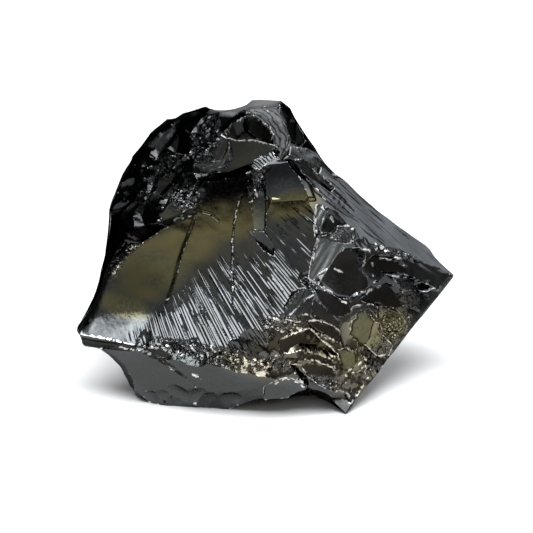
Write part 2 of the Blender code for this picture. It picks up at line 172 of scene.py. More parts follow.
# Flat and gently hollow faces, each within an outline as seen. The middle of each is as near as the stone
# is there, or as it is at another place that the face runs through. It sinks by its hollow, in mm, in its
# middle, and meets the stone round it over a rim so wide. Its fill is the most that it raises the stone.
FACE_RIM = 0.25
FACE_FILL = 0.4
FACE_CUT = 2.0  # the most that a face lowers the stone, mm
FACE_SINK = 1.3  # the most that it is sunk as a whole, mm
Face = collections.namedtuple(
    "Face", "facing outline hollow through rim fill", defaults=(0.0, None, FACE_RIM, FACE_FILL)
)
FACES = {
    "scoop top": Face((-10, 9), (
        (-0.2, 9.0), (-0.3, 12.6), (1.2, 13.6), (3.3, 13.9), (5.5, 10.9), (6.3, 8.8), (3.2, 8.6),
    ), through=(2.8, 11.0), rim=0.8),
    "step": Face((12, 2), (
        (-1.7, 4.9), (-0.2, 5.0), (-0.1, 8.8), (-0.5, 10.2), (-1.6, 9.4), (-1.9, 7.2),
    ), 0.1),
    "step foot": Face((-20, -20), ((-2.2, 4.6), (-0.3, 4.6), (0.9, 2.9), (1.0, 1.4), (-0.4, 2.2)), 0.2),
    "neck": Face((44, 14), (
        (1.6, 21.2), (2.4, 20.2), (4.2, 18.2), (5.0, 16.8), (4.4, 15.8), (3.4, 15.9), (3.1, 17.6),
        (2.4, 19.2), (1.5, 20.6),
    )),
    "light spur": Face((50, 8), (
        (4.2, 15.5), (5.2, 15.3), (6.6, 14.4), (7.1, 13.2), (6.9, 12.4), (5.0, 14.0),
    )),
    "dark spur": Face((40, 2), (
        (3.4, 13.9), (4.6, 14.0), (6.4, 12.6), (7.4, 11.8), (8.9, 10.4), (8.4, 9.9), (6.6, 11.2), (4.6, 12.8),
    ), 0.1),
    "hood": Face((14, 6), (
        (-3.3, 20.2), (-1.6, 19.9), (-0.1, 19.0), (0.8, 17.8), (1.2, 16.4), (1.2, 14.9), (2.0, 14.1),
        (2.9, 14.9), (3.1, 16.2), (2.9, 17.8), (2.2, 19.2), (1.3, 20.6), (-0.2, 20.8), (-2.0, 20.7),
    )),
    "roof": Face((-24, -2), (
        (-5.8, 17.4), (-4.4, 18.9), (-2.6, 19.8), (-1.4, 19.7), (-0.2, 18.8), (0.7, 17.6), (1.1, 16.2),
        (0.2, 16.4), (-1.6, 16.9), (-4.0, 16.8),
    ), 0.5),
    "bands": Face((-14, -3), (
        (-9.5, 12.4), (-9.3, 13.7), (-7.6, 13.6), (-6.2, 14.0), (-5.3, 15.2), (-4.8, 16.4), (-4.5, 14.4),
        (-5.4, 13.0), (-6.8, 12.4),
    )),
    "crescent": Face((-16, 4), (
        (-7.3, 14.0), (-7.1, 15.8), (-6.3, 17.1), (-5.2, 16.8), (-4.9, 15.4), (-5.6, 14.2), (-6.4, 13.6),
    )),
    "glint": Face((-8, 24), (
        (-2.0, 13.2), (-1.6, 14.0), (-0.2, 14.4), (0.8, 15.3), (1.2, 15.2), (1.3, 14.5), (0.2, 13.8),
        (-0.9, 13.0),
    )),
    "leaf": Face((-28, 16), (
        (-16.0, 15.8), (-14.4, 17.1), (-12.4, 18.4), (-11.8, 18.0), (-12.8, 16.6), (-14.0, 15.4),
        (-14.9, 14.3), (-15.2, 14.6), (-14.4, 15.6),
    ), rim=0.6),
    "dark strip": Face((-50, 0), (
        (-18.6, 1.4), (-16.6, 3.1), (-14.0, 4.8), (-9.4, 7.2), (-9.6, 7.8), (-12.0, 6.5), (-14.8, 5.5),
        (-17.0, 5.3), (-18.6, 3.4),
    )),
    "lens": Face((-20, 1), (
        (-14.6, 5.3), (-13.4, 5.7), (-11.9, 6.3), (-10.8, 6.8), (-11.2, 7.6), (-12.2, 9.4), (-12.8, 8.6),
        (-13.6, 7.0),
    ), 0.2),
    "lens upper": Face((-22, 2), ((-14.0, 9.2), (-12.4, 11.0), (-11.8, 10.7), (-12.7, 9.5), (-13.4, 8.9))),
    "dome hollow": Face((-46, 8), (
        (-17.2, 5.4), (-16.0, 5.6), (-14.8, 5.9), (-13.7, 7.2), (-13.2, 8.6), (-14.2, 9.0), (-16.4, 8.4),
        (-17.2, 6.8),
    ), 0.3, rim=0.5),
    "dome back": Face((-52, 8), (
        (-11.6, 17.6), (-10.6, 18.2), (-9.9, 17.4), (-9.6, 16.0), (-10.4, 15.0), (-12.0, 15.2), (-13.2, 15.9),
        (-12.6, 16.6),
    ), 0.2, rim=0.5),
    "green spur": Face((15, 7), (
        (6.6, 8.2), (7.3, 8.0), (7.9, 7.2), (7.5, 6.2), (7.2, 5.0), (6.9, 3.9), (6.5, 3.8), (6.4, 5.6),
        (6.4, 7.0),
    )),
    "green": Face((15, 6), (
        (6.9, 3.8), (8.3, 4.1), (8.9, 3.4), (10.4, 3.1), (9.9, 2.0), (9.0, 1.0), (8.3, -0.1), (7.4, -1.5),
        (6.6, -2.3), (5.6, -1.7), (5.9, 0.1), (6.3, 2.0),
    )),
    "fan": Face((18, 8), (
        (8.7, 4.4), (9.6, 5.2), (10.5, 5.4), (11.5, 5.0), (12.0, 3.9), (11.4, 3.3), (10.4, 3.1), (9.0, 3.4),
    )),
    "dark notch": Face((42, 2), (
        (7.6, 7.8), (9.2, 7.2), (10.4, 5.6), (9.6, 5.3), (8.6, 4.5), (7.4, 4.6), (7.3, 5.2), (7.7, 6.4),
    ), 0.2),
    "scallop": Face((32, 10), (
        (9.3, 1.6), (10.3, 2.3), (12.4, 2.4), (13.0, 1.6), (12.8, 0.2), (13.3, -1.0), (13.2, -2.6),
        (12.6, -3.3), (11.2, -4.2), (9.6, -4.1), (8.2, -3.3), (7.0, -2.4), (8.1, -0.6), (8.8, 0.8),
    ), 0.35),
    "scallop right": Face((34, 12), (
        (13.1, 0.4), (13.9, 1.3), (15.2, 1.4), (17.3, 1.0), (18.5, 0.0), (18.9, -1.2), (17.4, -0.9),
        (15.8, -0.9), (14.6, -2.0), (13.5, -1.6), (12.9, -0.4),
    ), 0.25),
    "sheen": Face((52, 8), (
        (15.7, -1.0), (17.4, -0.9), (19.0, -1.4), (20.4, -2.2), (21.8, -2.8), (21.0, -3.6), (19.2, -3.0),
        (18.0, -3.4), (17.0, -2.4),
    )),
    "hollow": Face((32, 10), (
        (12.4, -4.4), (13.4, -3.6), (14.4, -2.8), (15.8, -2.2), (16.8, -2.6), (17.6, -3.8), (18.0, -5.2),
        (16.4, -5.5), (14.2, -5.0),
    ), 0.3),
    "far rough": Face((46, 4), (
        (17.6, -3.2), (19.2, -3.0), (21.2, -3.6), (21.4, -4.6), (20.2, -5.9), (18.3, -5.5), (17.9, -4.2),
    )),
    "grey chip": Face((8, 3), (
        (3.4, -3.4), (5.2, -2.7), (6.2, -3.2), (5.0, -4.6), (3.6, -6.2), (2.6, -6.8), (2.4, -5.2),
    )),
    "grey chip low": Face((16, -2), (
        (6.2, -3.4), (6.0, -5.0), (5.8, -6.2), (4.4, -6.6), (2.9, -6.8), (4.4, -5.2),
    )),
    "brown chip": Face((28, 8), (
        (6.4, -3.0), (8.2, -3.5), (9.6, -4.4), (10.8, -4.9), (11.0, -6.0), (9.8, -6.6), (8.6, -6.2),
        (7.2, -4.9),
    ), 0.1),
    "brown chip low": Face((24, -3), (
        (6.2, -4.2), (7.2, -5.0), (8.6, -6.3), (9.6, -7.2), (9.2, -8.0), (7.4, -7.2), (6.2, -6.8),
        (5.9, -5.4),
    )),
    "leaf 1": Face((27, 5), (
        (1.7, -9.7), (3.0, -9.3), (4.9, -8.5), (5.6, -8.3), (6.2, -8.8), (7.2, -9.9), (8.4, -10.8),
        (9.3, -11.7), (8.4, -12.1), (6.8, -11.4), (4.7, -10.9), (3.4, -11.3), (1.5, -11.6),
    ), 0.25),
    "leaf 2": Face((27, 9), (
        (5.4, -7.2), (7.0, -7.3), (8.6, -7.9), (9.5, -8.6), (9.7, -10.2), (8.2, -9.4), (6.8, -8.8),
        (5.8, -8.0),
    ), 0.2),
    "leaf 3": Face((27, 3), (
        (4.3, -12.3), (4.8, -11.3), (6.6, -11.7), (8.2, -12.3), (9.4, -12.9), (9.5, -13.7), (8.2, -13.0),
        (6.4, -12.3),
    ), 0.2),
    "leaf 4": Face((25, 2), (
        (4.5, -12.9), (6.4, -12.7), (8.4, -13.4), (9.8, -14.6), (8.2, -14.9), (6.0, -14.4), (5.0, -13.8),
    ), 0.2),
    "blade": Face((6, -26), (
        (3.1, -13.0), (4.4, -13.1), (5.3, -14.6), (7.0, -15.9), (8.6, -16.6), (10.4, -16.8), (11.0, -18.2),
        (10.0, -19.4), (8.0, -18.2), (6.2, -16.6), (4.4, -14.6),
    )),
    "olive": Face((15, 6), (
        (11.0, -7.2), (12.4, -5.8), (14.0, -6.4), (14.6, -8.4), (16.0, -9.8), (15.4, -11.2), (13.8, -11.3),
        (12.5, -10.0), (11.0, -9.0),
    ), through=(12.4, -6.4), fill=1.0),
    "olive low": Face((15, 6), (
        (9.5, -11.2), (10.6, -10.7), (12.0, -11.0), (12.6, -12.5), (11.5, -13.4), (10.0, -13.6), (9.6, -12.4),
    ), through=(10.7, -11.1), fill=1.0),
    "under the tip": Face((42, 7), (
        (18.9, 0.6), (21.0, 0.4), (23.9, -0.9), (22.4, -3.2), (20.8, -2.6), (19.0, -1.3),
    )),
    "low fan": Face((16, 8), ((13.2, -5.2), (14.8, -4.9), (15.3, -6.0), (14.2, -7.2), (13.4, -6.4))),
    "low fan right": Face((16, 8), (
        (15.2, -7.2), (15.5, -6.0), (16.4, -5.5), (17.5, -6.0), (18.1, -7.2), (17.3, -8.3), (15.9, -8.3),
    )),
    "bottom green": Face((4, -17), (
        (-0.6, -19.5), (-0.2, -15.9), (1.2, -15.2), (2.4, -14.8), (4.0, -15.2), (5.8, -16.2), (6.4, -19.5),
    )),
    "crease": Face((-10, 6), (
        (-14.6, -11.7), (-13.4, -12.2), (-12.0, -13.2), (-12.3, -13.6), (-13.8, -12.8),
    ), 0.15),
}

# Lines along the rims of chips, as seen: raised a little in the relief, and painted bright in the material as
# highlights, as if crushed.
RIMS = (
    ((8.8, -0.2), (9.7, -0.7), (10.8, -1.3)),
    ((11.0, -4.4), (11.6, -3.8), (12.3, -3.4), (13.0, -3.2)),
    ((11.1, -5.6), (11.5, -5.2), (12.4, -4.9), (13.4, -4.7)),
    ((13.2, -3.6), (14.0, -2.4), (14.3, -1.9)),
    ((13.4, -3.3), (14.6, -2.7), (15.8, -2.1)),
    ((7.4, -2.7), (8.4, -3.4), (9.3, -4.0), (10.4, -4.8)),
    ((12.6, 2.3), (13.8, 1.9), (14.9, 2.6), (15.6, 2.1), (17.2, 2.0), (18.6, 1.6), (19.6, 1.2)),
    ((14.3, 3.0), (15.2, 2.6), (16.2, 2.3)),
    ((13.8, 0.4), (14.1, -0.6), (13.9, -1.4)),
    ((15.0, 1.2), (16.2, 0.9), (17.4, 1.2), (18.4, 0.6)),
    ((15.8, -1.0), (16.4, -1.3), (17.6, -1.2), (18.6, -1.6)),
    ((18.7, -1.3), (20.0, -2.0), (21.4, -2.1)),
    ((3.4, 13.7), (4.6, 12.4), (5.6, 11.2), (6.7, 10.2), (7.7, 8.8)),
    ((6.6, 8.2), (6.4, 6.4), (6.5, 4.8), (6.9, 3.9), (6.3, 1.8), (5.9, 0.0), (5.6, -1.6), (6.6, -2.3)),
    ((7.2, 7.8), (8.2, 7.0), (8.8, 6.0)),
    ((8.7, 4.4), (9.4, 5.2), (10.6, 5.4), (11.4, 5.0)),
    ((-0.4, -6.6), (2.2, -7.0), (4.1, -7.3), (5.9, -7.1), (7.1, -7.1), (8.0, -7.5), (9.1, -8.0), (9.6, -8.6)),
    ((1.7, -9.5), (3.0, -9.1), (4.2, -8.6), (4.9, -8.3), (5.5, -8.0), (6.2, -8.4), (7.9, -9.4), (8.8, -9.7)),
    ((7.2, -9.6), (8.0, -10.1), (8.5, -10.6), (9.3, -11.5)),
    (
        (1.2, -11.7), (2.2, -11.5), (3.5, -11.3), (4.2, -10.9), (4.7, -10.8), (5.6, -11.2), (6.7, -11.4),
        (8.5, -12.2),
    ),
    ((4.4, -12.3), (5.9, -12.2), (7.2, -12.6), (8.5, -13.1), (9.6, -13.8), (10.5, -14.4)),
    ((10.9, -8.8), (11.1, -7.4), (12.4, -5.8)),
    ((9.4, -11.0), (9.6, -12.2), (10.2, -13.6), (11.4, -13.5), (12.6, -12.6)),
    ((13.5, -14.3), (12.3, -16.2), (11.0, -18.2)),
    ((14.6, -12.0), (15.8, -11.6), (16.3, -11.2)),
    ((11.8, -11.0), (12.8, -11.9), (13.4, -12.8), (12.6, -13.4)),
    ((0.6, -15.8), (2.4, -14.7), (4.0, -15.2), (5.6, -16.3)),
    ((-9.9, -13.8), (-9.3, -14.4), (-8.3, -15.0)),
    ((-9.8, -18.0), (-9.2, -18.1)),
    ((-12.2, -12.8), (-11.9, -13.2)),
    ((-15.8, -10.0), (-15.2, -10.6), (-14.4, -10.9)),
    ((-14.8, -9.7), (-13.8, -10.6), (-13.2, -10.9)),
    ((-13.4, -10.0), (-12.6, -10.8), (-12.0, -11.0)),
    ((-12.4, -10.2), (-11.4, -11.4), (-10.8, -11.6)),
    ((-11.2, -10.2), (-10.4, -10.9), (-9.4, -11.8)),
    ((-10.0, -10.4), (-9.2, -11.4), (-8.3, -11.7)),
    ((-8.8, -10.4), (-8.0, -11.2), (-7.6, -12.2)),
    ((-7.4, -10.6), (-6.6, -11.4), (-5.8, -11.9)),
    ((-6.0, -10.6), (-5.2, -11.6), (-4.6, -12.4)),
    ((-4.8, -11.0), (-3.6, -12.0), (-2.8, -12.8)),
    ((-3.6, -11.2), (-2.4, -12.6), (-1.4, -13.2)),
    ((-2.0, -11.8), (-0.8, -12.8), (0.4, -13.4)),
    ((-20.4, -10.4), (-18.4, -10.8), (-16.8, -11.1)),
    ((-18.9, 5.4), (-18.4, 4.6), (-18.1, 4.0)),
    ((-13.4, 14.5), (-12.2, 14.6), (-10.6, 14.3)),
    ((-3.3, 9.3), (-4.0, 7.2), (-4.4, 4.0), (-4.5, 0.0), (-4.4, -3.2)),
    ((-16.8, 14.6), (-15.6, 14.9)),
    ((-14.6, 5.3), (-13.4, 5.7), (-11.9, 6.3), (-10.0, 6.6)),
    ((-17.6, 2.6), (-16.4, 4.2), (-15.4, 4.8)),
    ((-2.9, 20.6), (-0.6, 20.4), (0.8, 20.6)),
    ((-0.9, 19.2), (0.3, 18.4), (1.0, 17.0), (1.2, 15.4)),
    ((-1.7, 12.6), (-1.1, 11.4), (-1.6, 10.2), (-1.2, 9.2)),
    ((-10.2, 18.3), (-9.6, 18.7)),
)
RIM_HEIGHT = 0.08
RIM_WIDTH = 0.16
RIM_REACH = 0.5  # how far from its line a rim is drawn
RIM_MARGIN = 0.6  # how far round a rim's points it is looked for
RIM_WANDER, RIM_WANDERS = 0.12, 1.6  # how far a rim wanders, and how often
RIM_GAPS = (1.1, 1.1)  # how often the rims are broken, to the right and up
RIM_WHOLE = (-0.45, 0.15)  # from what noise to what they fade in

# Where the stone is crumbled by small chips: the zone's middle as seen, its half widths and its lie; which
# way the chips face, or None to lie along the surface; how many there are, and the least and most half
# width of one; how deep a chip is for its half width; how much longer than wide it may be; and how far, in
# degrees, the chips' facing strays.
Zone = collections.namedtuple(
    "Zone", "middle half_widths lie facing count sizes depth longest stray", defaults=(0.2, 2.0, 14)
)
CRUMBLES = {
    "lower ridge": Zone((-8.0, -11.7), (8.4, 0.8), -12, (-8, 6), 36, (0.5, 1.0)),
    "foot": Zone((-9.5, -17.4), (5.8, 0.5), -3, None, 16, (0.5, 1.2), 0.3, 2.0, 10),
    "dome": Zone((-14.8, 11.2), (5.6, 4.4), 55, None, 60, (0.5, 1.3), 0.22, 2.4, 8),
    "dome top": Zone((-10.2, 17.4), (3.0, 3.0), 0, None, 30, (0.5, 1.2), 0.22, 2.0, 8),
    "right edge": Zone((14.2, -10.0), (6.4, 0.9), 50, (34, 4), 22, (0.5, 1.0), 0.14, 2.0, 12),
}
# Chips all over the back: how many there are, the least and most half width of one, and the most that one is
# longer than wide.
BACK_CHIPS = 46
BACK_CHIP_SIZES = (1.4, 3.6)
BACK_CHIP_LONGEST = 2.2
BACK_CHIP_DEPTH = 0.17  # for its half width
BACK_CHIP_TILT = 0.16  # how much it strays from the surface's facing
BACK_RIGHT = (-74, 74)  # how far round from the very back the chips there are, and how high, in degrees
BACK_UP = (-50, 60)
BACK_SEED, CRUMBLE_SEED, CRUMB_SEED = 5, 3, 11


def seen(right, up, near):
    """The point that the eye sees at this place, so near to it."""
    closer = 1 - near / EYE
    return (right * closer, up * closer, near)


def on_floor(right, near):
    """A point just under the resting surface, so far to the right and so near."""
    up = (FLOOR - UNDER_FLOOR - near * math.sin(FRONT_TILT)) / math.cos(FRONT_TILT)
    return (right, up, near)


def turned(right_deg, up_deg):
    """The direction that faces so many degrees to the right of the viewer and so many above."""
    a, b = math.radians(right_deg), math.radians(up_deg)
    return np.array((math.sin(a) * math.cos(b), math.sin(b), math.cos(a) * math.cos(b)))


def unit(vectors):
    """The vectors, row by row, made as long as one."""
    return vectors / np.linalg.norm(vectors, axis=-1, keepdims=True)


def hull_planes(points):
    """Outward normals and distances from the heart of the flat faces of the points' convex hull."""
    work = bmesh.new()
    for point in points:
        work.verts.new(point)
    bmesh.ops.convex_hull(work, input=work.verts)
    normals = np.array([face.normal for face in work.faces])
    corners = np.array([face.verts[0].co for face in work.faces])
    work.free()
    distances = ((corners - HEART) * normals).sum(axis=1)
    return normals * np.sign(distances)[:, None], np.abs(distances)


class Scar:
    """An ellipsoid that takes a bite out of the stone, like the hollow of a flake struck off it.

    Its relief, if it has one, is a function from points to the height, in mm, that the scar's surface is
    raised there."""

    def __init__(self, where, facing, half_widths, depth, lie, relief=None):
        side = unit(np.cross((0.0, 1.0, 0.0), facing))
        rise = np.cross(facing, side)
        a = math.radians(lie)
        along = side * math.cos(a) + rise * math.sin(a)
        across = np.cross(facing, along)
        width = math.sqrt(half_widths[0] * half_widths[1])
        radius = (width**2 + depth**2) / (2 * depth)
        self.facing = facing
        self.relief = relief
        self.middle = where - HEART + facing * (radius - depth)
        shape = np.array((along * width / half_widths[0], across * width / half_widths[1], facing))
        self.squash = shape / radius
        farthest = max(half_widths) / width * radius
        distance = np.linalg.norm(self.middle)
        self.aim = self.middle / distance
        self.spread = -1.0 if farthest >= distance else math.cos(math.asin(farthest / distance))

    def reach(self, directions):
        """How far each ray from the heart goes before it meets the ellipsoid."""
        steps = directions @ self.squash.T
        start = -self.squash @ self.middle
        a = (steps**2).sum(axis=1)
        b = steps @ start
        inner = b**2 - a * (start @ start - 1.0)
        hit = (inner > 0) & (b < 0)
        reach = np.where(hit, (-b - np.sqrt(np.maximum(inner, 0.0))) / a, np.inf)
        if self.relief is not None and hit.any():
            raised = self.relief(HEART + directions[hit] * reach[hit, None])
            reach[hit] += raised / np.maximum(directions[hit] @ self.facing, STEEPEST)
        return reach


class Pocket:
    """A pocket with flat faces, cut back until it meets each of them."""

    def __init__(self, faces):
        self.normals = np.array([turned(*facing) for _, facing in faces])
        points = np.array([point for point, _ in faces]) - HEART
        self.distances = (self.normals * points).sum(axis=1)
        self.aim = unit(points.mean(axis=0))
        self.spread = math.cos(CAVE_SPREAD)

    def reach(self, directions):
        """How far each ray from the heart goes before it comes out into the pocket."""
        toward = directions @ self.normals.T
        steepest = np.maximum(toward, CAVE_STEEPEST)
        return np.where(toward > CAVE_STEEPEST, self.distances / steepest, np.inf).max(axis=1)


class Stone:
    """The stone's reach from its heart, as the hull's flat faces and the scars bitten out of them so far."""

    def __init__(self, corners):
        self.normals, self.distances = hull_planes(corners)
        self.scars = []
        self.faces = []

    def reach(self, directions):
        """How far the stone reaches from its heart in each direction."""
        toward = directions @ self.normals.T
        far = np.where(toward > TINY, self.distances / np.maximum(toward, TINY), np.inf)
        reach = far.min(axis=1)
        for scar in self.scars:
            near = directions @ scar.aim > scar.spread
            if near.any():
                reach[near] = np.minimum(reach[near], scar.reach(directions[near]))
        return reach

    def plain_surface(self, directions):
        """The points where the surface is without its fine relief and flat faces."""
        return HEART + directions * self.reach(directions)[:, None]

    def at(self, where):
        """The surface's point at a place that is seen from the front, or out beyond a point inside."""
        if len(where) == 3:
            return self.plain_surface(unit(np.array([where]) - HEART))[0]
        return self.seen_at([where])[0]

    def seen_at(self, places):
        """The points of the surface that the eye sees at these places."""
        places = np.array(places, dtype=float)
        near = np.full(len(places), DEPTH_RANGE)
        far = np.full(len(places), -DEPTH_RANGE)
        steps = np.linspace(0.0, 1.0, DEPTH_STEPS)
        for _ in range(DEPTH_ROUNDS):
            depths = near[:, None] + (far - near)[:, None] * steps
            closer = 1 - depths / EYE
            points = np.stack((places[:, :1] * closer, places[:, 1:] * closer, depths), axis=-1) - HEART
            lengths = np.linalg.norm(points, axis=-1)
            reach = self.reach((points / lengths[..., None]).reshape(-1, 3)).reshape(lengths.shape)
            first = np.argmax(lengths < reach, axis=1)
            rows = np.arange(len(places))
            near, far = depths[rows, np.maximum(first - 1, 0)], depths[rows, first]
        closer = 1 - far / EYE
        return np.column_stack((places[:, 0] * closer, places[:, 1] * closer, far))


def as_seen(points):
    """Where the eye sees these points: right and up."""
    closer = 1 - points[:, 2] / EYE
    return points[:, 0] / closer, points[:, 1] / closer


def smooth_step(low, high, value):
    """Rises smoothly from 0 at the low value to 1 at the high one."""
    t = np.clip((value - low) / (high - low), 0.0, 1.0)
    return t * t * (3 - 2 * t)


NOISE_GAIN = 1.6  # brings the noise to about -1 to 1
# How far noises are shifted, so that they aren't alike.
SHIFTS = {"gaps": 2.0, "lance wander": 3.0, "rings": 4.0, "strokes": 6.0, "ribs": 7.0, "lance breaks": 9.0}


def noise_at(*coordinates):
    """Smooth noise, about -1 to 1, at each row of up to three coordinates."""
    columns = list(coordinates) + [np.zeros_like(coordinates[0])] * (3 - len(coordinates))
    return np.array([noise.noise(Vector(place)) for place in zip(*columns)]) * NOISE_GAIN


def shifted_noise(across, along, often, shift):
    """Noise that comes so often across and along, shifted apart from other noise."""
    return noise_at(across * often[0], along * often[1], np.full_like(along, SHIFTS[shift]))


# Ribs and rings bend so far and so often. They fade so often, and their strength is about the first value,
# more or less by the second.
RIB_BEND, RIB_BENDS, RIB_FADES = 0.25, 0.35, 0.6
RIB_STRENGTH = (0.5, 0.5)
RING_BEND, RING_BENDS, RING_FADES = 0.25, 0.5, (0.9, 0.9)
RING_STRENGTH = (0.6, 0.5)
RING_WEAKEST = 0.1


def ribs(strike, spacing, height):
    """Relief of rounded ribs, in rings round the point that the flake was struck at."""
    def relief(points):
        away = np.linalg.norm(points - strike, axis=1)
        bend = noise_at(*(points.T * RIB_BENDS)) * RIB_BEND
        wave = np.abs(np.sin(math.pi * (away / spacing + bend)))
        strength = RIB_STRENGTH[0] + RIB_STRENGTH[1] * noise_at(*(points.T * RIB_FADES + SHIFTS["ribs"]))
        return height * wave * np.clip(strength, 0.0, 1.0)
    return relief


def from_line(right, up, line):
    """Distance of each place from a line of points, and its signed offset to the line's right."""
    best = np.full(len(right), np.inf)
    signed = np.zeros(len(right))
    for (r0, u0), (r1, u1) in zip(line, line[1:]):
        dr, du = r1 - r0, u1 - u0
        t = np.clip(((right - r0) * dr + (up - u0) * du) / (dr * dr + du * du), 0, 1)
        off_r, off_u = right - r0 - t * dr, up - u0 - t * du
        away = np.hypot(off_r, off_u)
        side = np.sign(off_r * -du + off_u * dr)
        signed = np.where(away < best, away * side, signed)
        best = np.minimum(best, away)
    return best, signed


# The great face's outline, as seen.
GREAT_FACE = (
    (-24.2, -8.8), (-22.6, -5.6), (-21.0, -2.0), (-19.0, 0.6), (-17.0, 2.4), (-14.0, 4.4), (-8.6, 7.0),
    (-9.6, 12.0), (-2.0, 12.4), (-1.4, 9.0), (-2.3, 5.0), (1.0, 1.6), (5.6, -1.6), (2.8, -5.4), (0.6, -9.6),
    (-3.0, -11.2), (-9.0, -11.0), (-15.5, -10.2),
)
# Its hackles fan out from a point far up to the left. They begin below a line, and grow over such a depth.
FAN_FROM = (-29.4, 36.9)
HACKLE_STEP = 0.0082  # radians of the fan between hackles
HACKLE_TOP = (
    (-21.0, -9.5), (-18.0, -7.0), (-15.0, -5.5), (-12.0, -2.6), (-9.0, 0.8), (-6.0, 2.8), (1.0, 3.4),
    (6.0, 1.0),
)
HACKLE_GROWTH = 4.0
HACKLED_RIM = 0.8
HACKLE_HEIGHT = 0.08
# Lances stand out among them, and stop and start. Noise comes so often across and along the fan.
LANCE = 1.8  # how wide a lance is, in hackles
LANCE_WANDER, LANCE_WANDERS = 1.3, (0.5, 0.03)
LANCE_FALL = (0.14, 0.34)  # the share of its width on its steep side, and how much is added to that below
LANCE_FALLS = (3.0, -8.0)  # from which height to which
LANCE_BREAKS = (5.7, 0.32)
LANCE_STRENGTH = (-0.15, 0.35)  # from what noise to what a lance fades in
LANCE_LOW, LANCE_LOW_STRENGTH = (-2.0, -8.0), 0.35  # more stand out below
# To their right the face is finely lined, by so much of the hackles' strength.
LINED = ((0.4, 4.6), (2.4, 7.8), (6.4, 8.2), (6.4, 1.0), (5.4, -1.6), (1.2, 1.4))
LINED_RIM = 2.0
FINE_LINES = 0.6
# Below this height the lower left corner of the great face curls up, with such a slope, and softly at first.
CURL_BELOW = -5.8
CURL_SLOPE = 0.29
CURL_SOFT = 0.4
CURL_ENDS = (-15.0, -11.5)  # it fades to the right over this stretch

# Hairline cracks across the great face. A crack is so high, or deep if below 0, and so wide, in mm.
DARK_CRACK = ((-9.3, 6.6), (-10.1, 4.6), (-10.9, 2.8), (-11.6, 0.6), (-12.1, -1.6), (-13.0, -4.2))
DARK_CRACK_FORM = (-0.28, 0.17)
DARK_CRACK_STEP = (0.10, 1.6)  # the stone steps up on its right, and falls back over this width
DARK_CRACK_EDGE = (0.05, 0.3)  # how far from the crack the step rises
BRIGHT_CRACK = ((-3.3, 9.3), (-4.0, 7.2), (-4.4, 4.0), (-4.5, 0.0), (-4.4, -5.2))
BRIGHT_CRACK_FORM = (0.09, 0.12)
SPUR_CRACK = ((-8.6, 7.2), (-7.4, 6.9), (-6.4, 6.0))
SPUR_CRACK_FORM = (-0.1, 0.12)
CRACK_PAINTED_SHADE = 0.26  # how wide the painted shade along a dark crack is

# The lower face has a crease across it, with a step up on its right; rings below the crease, round a middle
# and within an oval; and two ripples, each with its height and how often it comes across and up.
LOWER_FACE = (
    (-22.8, -10.2), (-16.0, -11.2), (-12.0, -12.4), (-6.0, -13.2), (0.0, -15.6), (-1.0, -19.5),
    (-20.0, -19.5),
)
CREASE = ((-15.8, -11.4), (-14.6, -11.9), (-13.4, -12.9), (-12.2, -13.5), (-11.0, -14.3), (-9.6, -15.6))
CREASE_FORM = (-0.3, 0.2)
CREASE_STEP = (0.16, 1.8)
CREASE_EDGE = (-0.3, 0.3)
LOW_RINGS = (-15.2, -16.0)
LOW_RINGS_WIDTH = 1.6
LOW_RINGS_FORM = (0.10, 0.5)  # their height, and how far apart they are
RIPPLES = ((0.05, 0.5, 1.1), (0.02, 1.4, 2.6))

# The bands at the right have long streaks running down them: slow ones, and finer ones so much lower. Both
# come so often across and along.
BANDS = (
    (3.0, 14.2), (7.4, 14.6), (25.0, 0.4), (24.0, -1.4), (19.0, 0.8), (14.4, 3.6), (9.0, 6.4), (6.6, 9.6),
)
BANDS_RIM = 1.0
BANDS_LIE = math.radians(-41.0)
STREAK_HEIGHT = 0.10
STREAKS = (1.5, 0.12)
FINE_STREAKS = (3.6, 0.3)
FINE_STREAK_SHARE = 0.4
# Some faces are stroked, along this lie.
STROKED = ("green", "green spur", "fan", "grey chip", "grey chip low")
STROKED_RIM = 0.4
STROKES_LIE = math.radians(58.0)
STROKE_HEIGHT = 0.07
STROKES = (1.7, 0.22)

# Ringed faces: the rings' middle as seen; how far apart the fine rings are that the material draws; and
# for a face that is ribbed too, how soft the rim of its ribs is, how high they are and how far apart.
RINGED = {
    "hood": ((-2.4, 16.2), 0.62, (0.6, 0.16, 1.1)),
    "bands": ((-8.6, 16.6), 0.62, (0.5, 0.24, 0.7)),
    "glint": ((-3.6, 10.0), 0.4, None),
    "fan": ((9.0, 3.2), 0.5, (0.5, 0.12, 0.62)),
    "low fan": ((12.8, -7.0), 0.45, (0.5, 0.10, 0.55)),
    "low fan right": ((15.4, -8.6), 0.45, (0.5, 0.10, 0.55)),
}
RINGED_RIM = 0.5


def inside(right, up, outline, soft):
    """1 inside an outline and 0 outside it, with a soft rim as wide as given."""
    crossings = np.zeros(len(right), dtype=bool)
    for (r0, u0), (r1, u1) in zip(outline, outline[1:] + outline[:1]):
        if u0 != u1:
            crossings ^= ((up < u0) != (up < u1)) & (right < r0 + (r1 - r0) * (up - u0) / (u1 - u0))
    away, _ = from_line(right, up, outline + outline[:1])
    return smooth_step(-soft / 2, soft / 2, np.where(crossings, away, -away))


def fan_of(right, up):
    """The fan's angle at each place, in hackles, and how far it is from where they fan out."""
    right_of, below = right - FAN_FROM[0], FAN_FROM[1] - up
    return np.arctan2(right_of, below) / HACKLE_STEP, np.hypot(right_of, below)


def hackled(right, up):
    """1 where the great face bears hackles, falling to 0 outside it."""
    top = np.interp(right, *np.array(HACKLE_TOP).T)
    return smooth_step(0.0, HACKLE_GROWTH, top - up) * inside(right, up, GREAT_FACE, HACKLED_RIM)


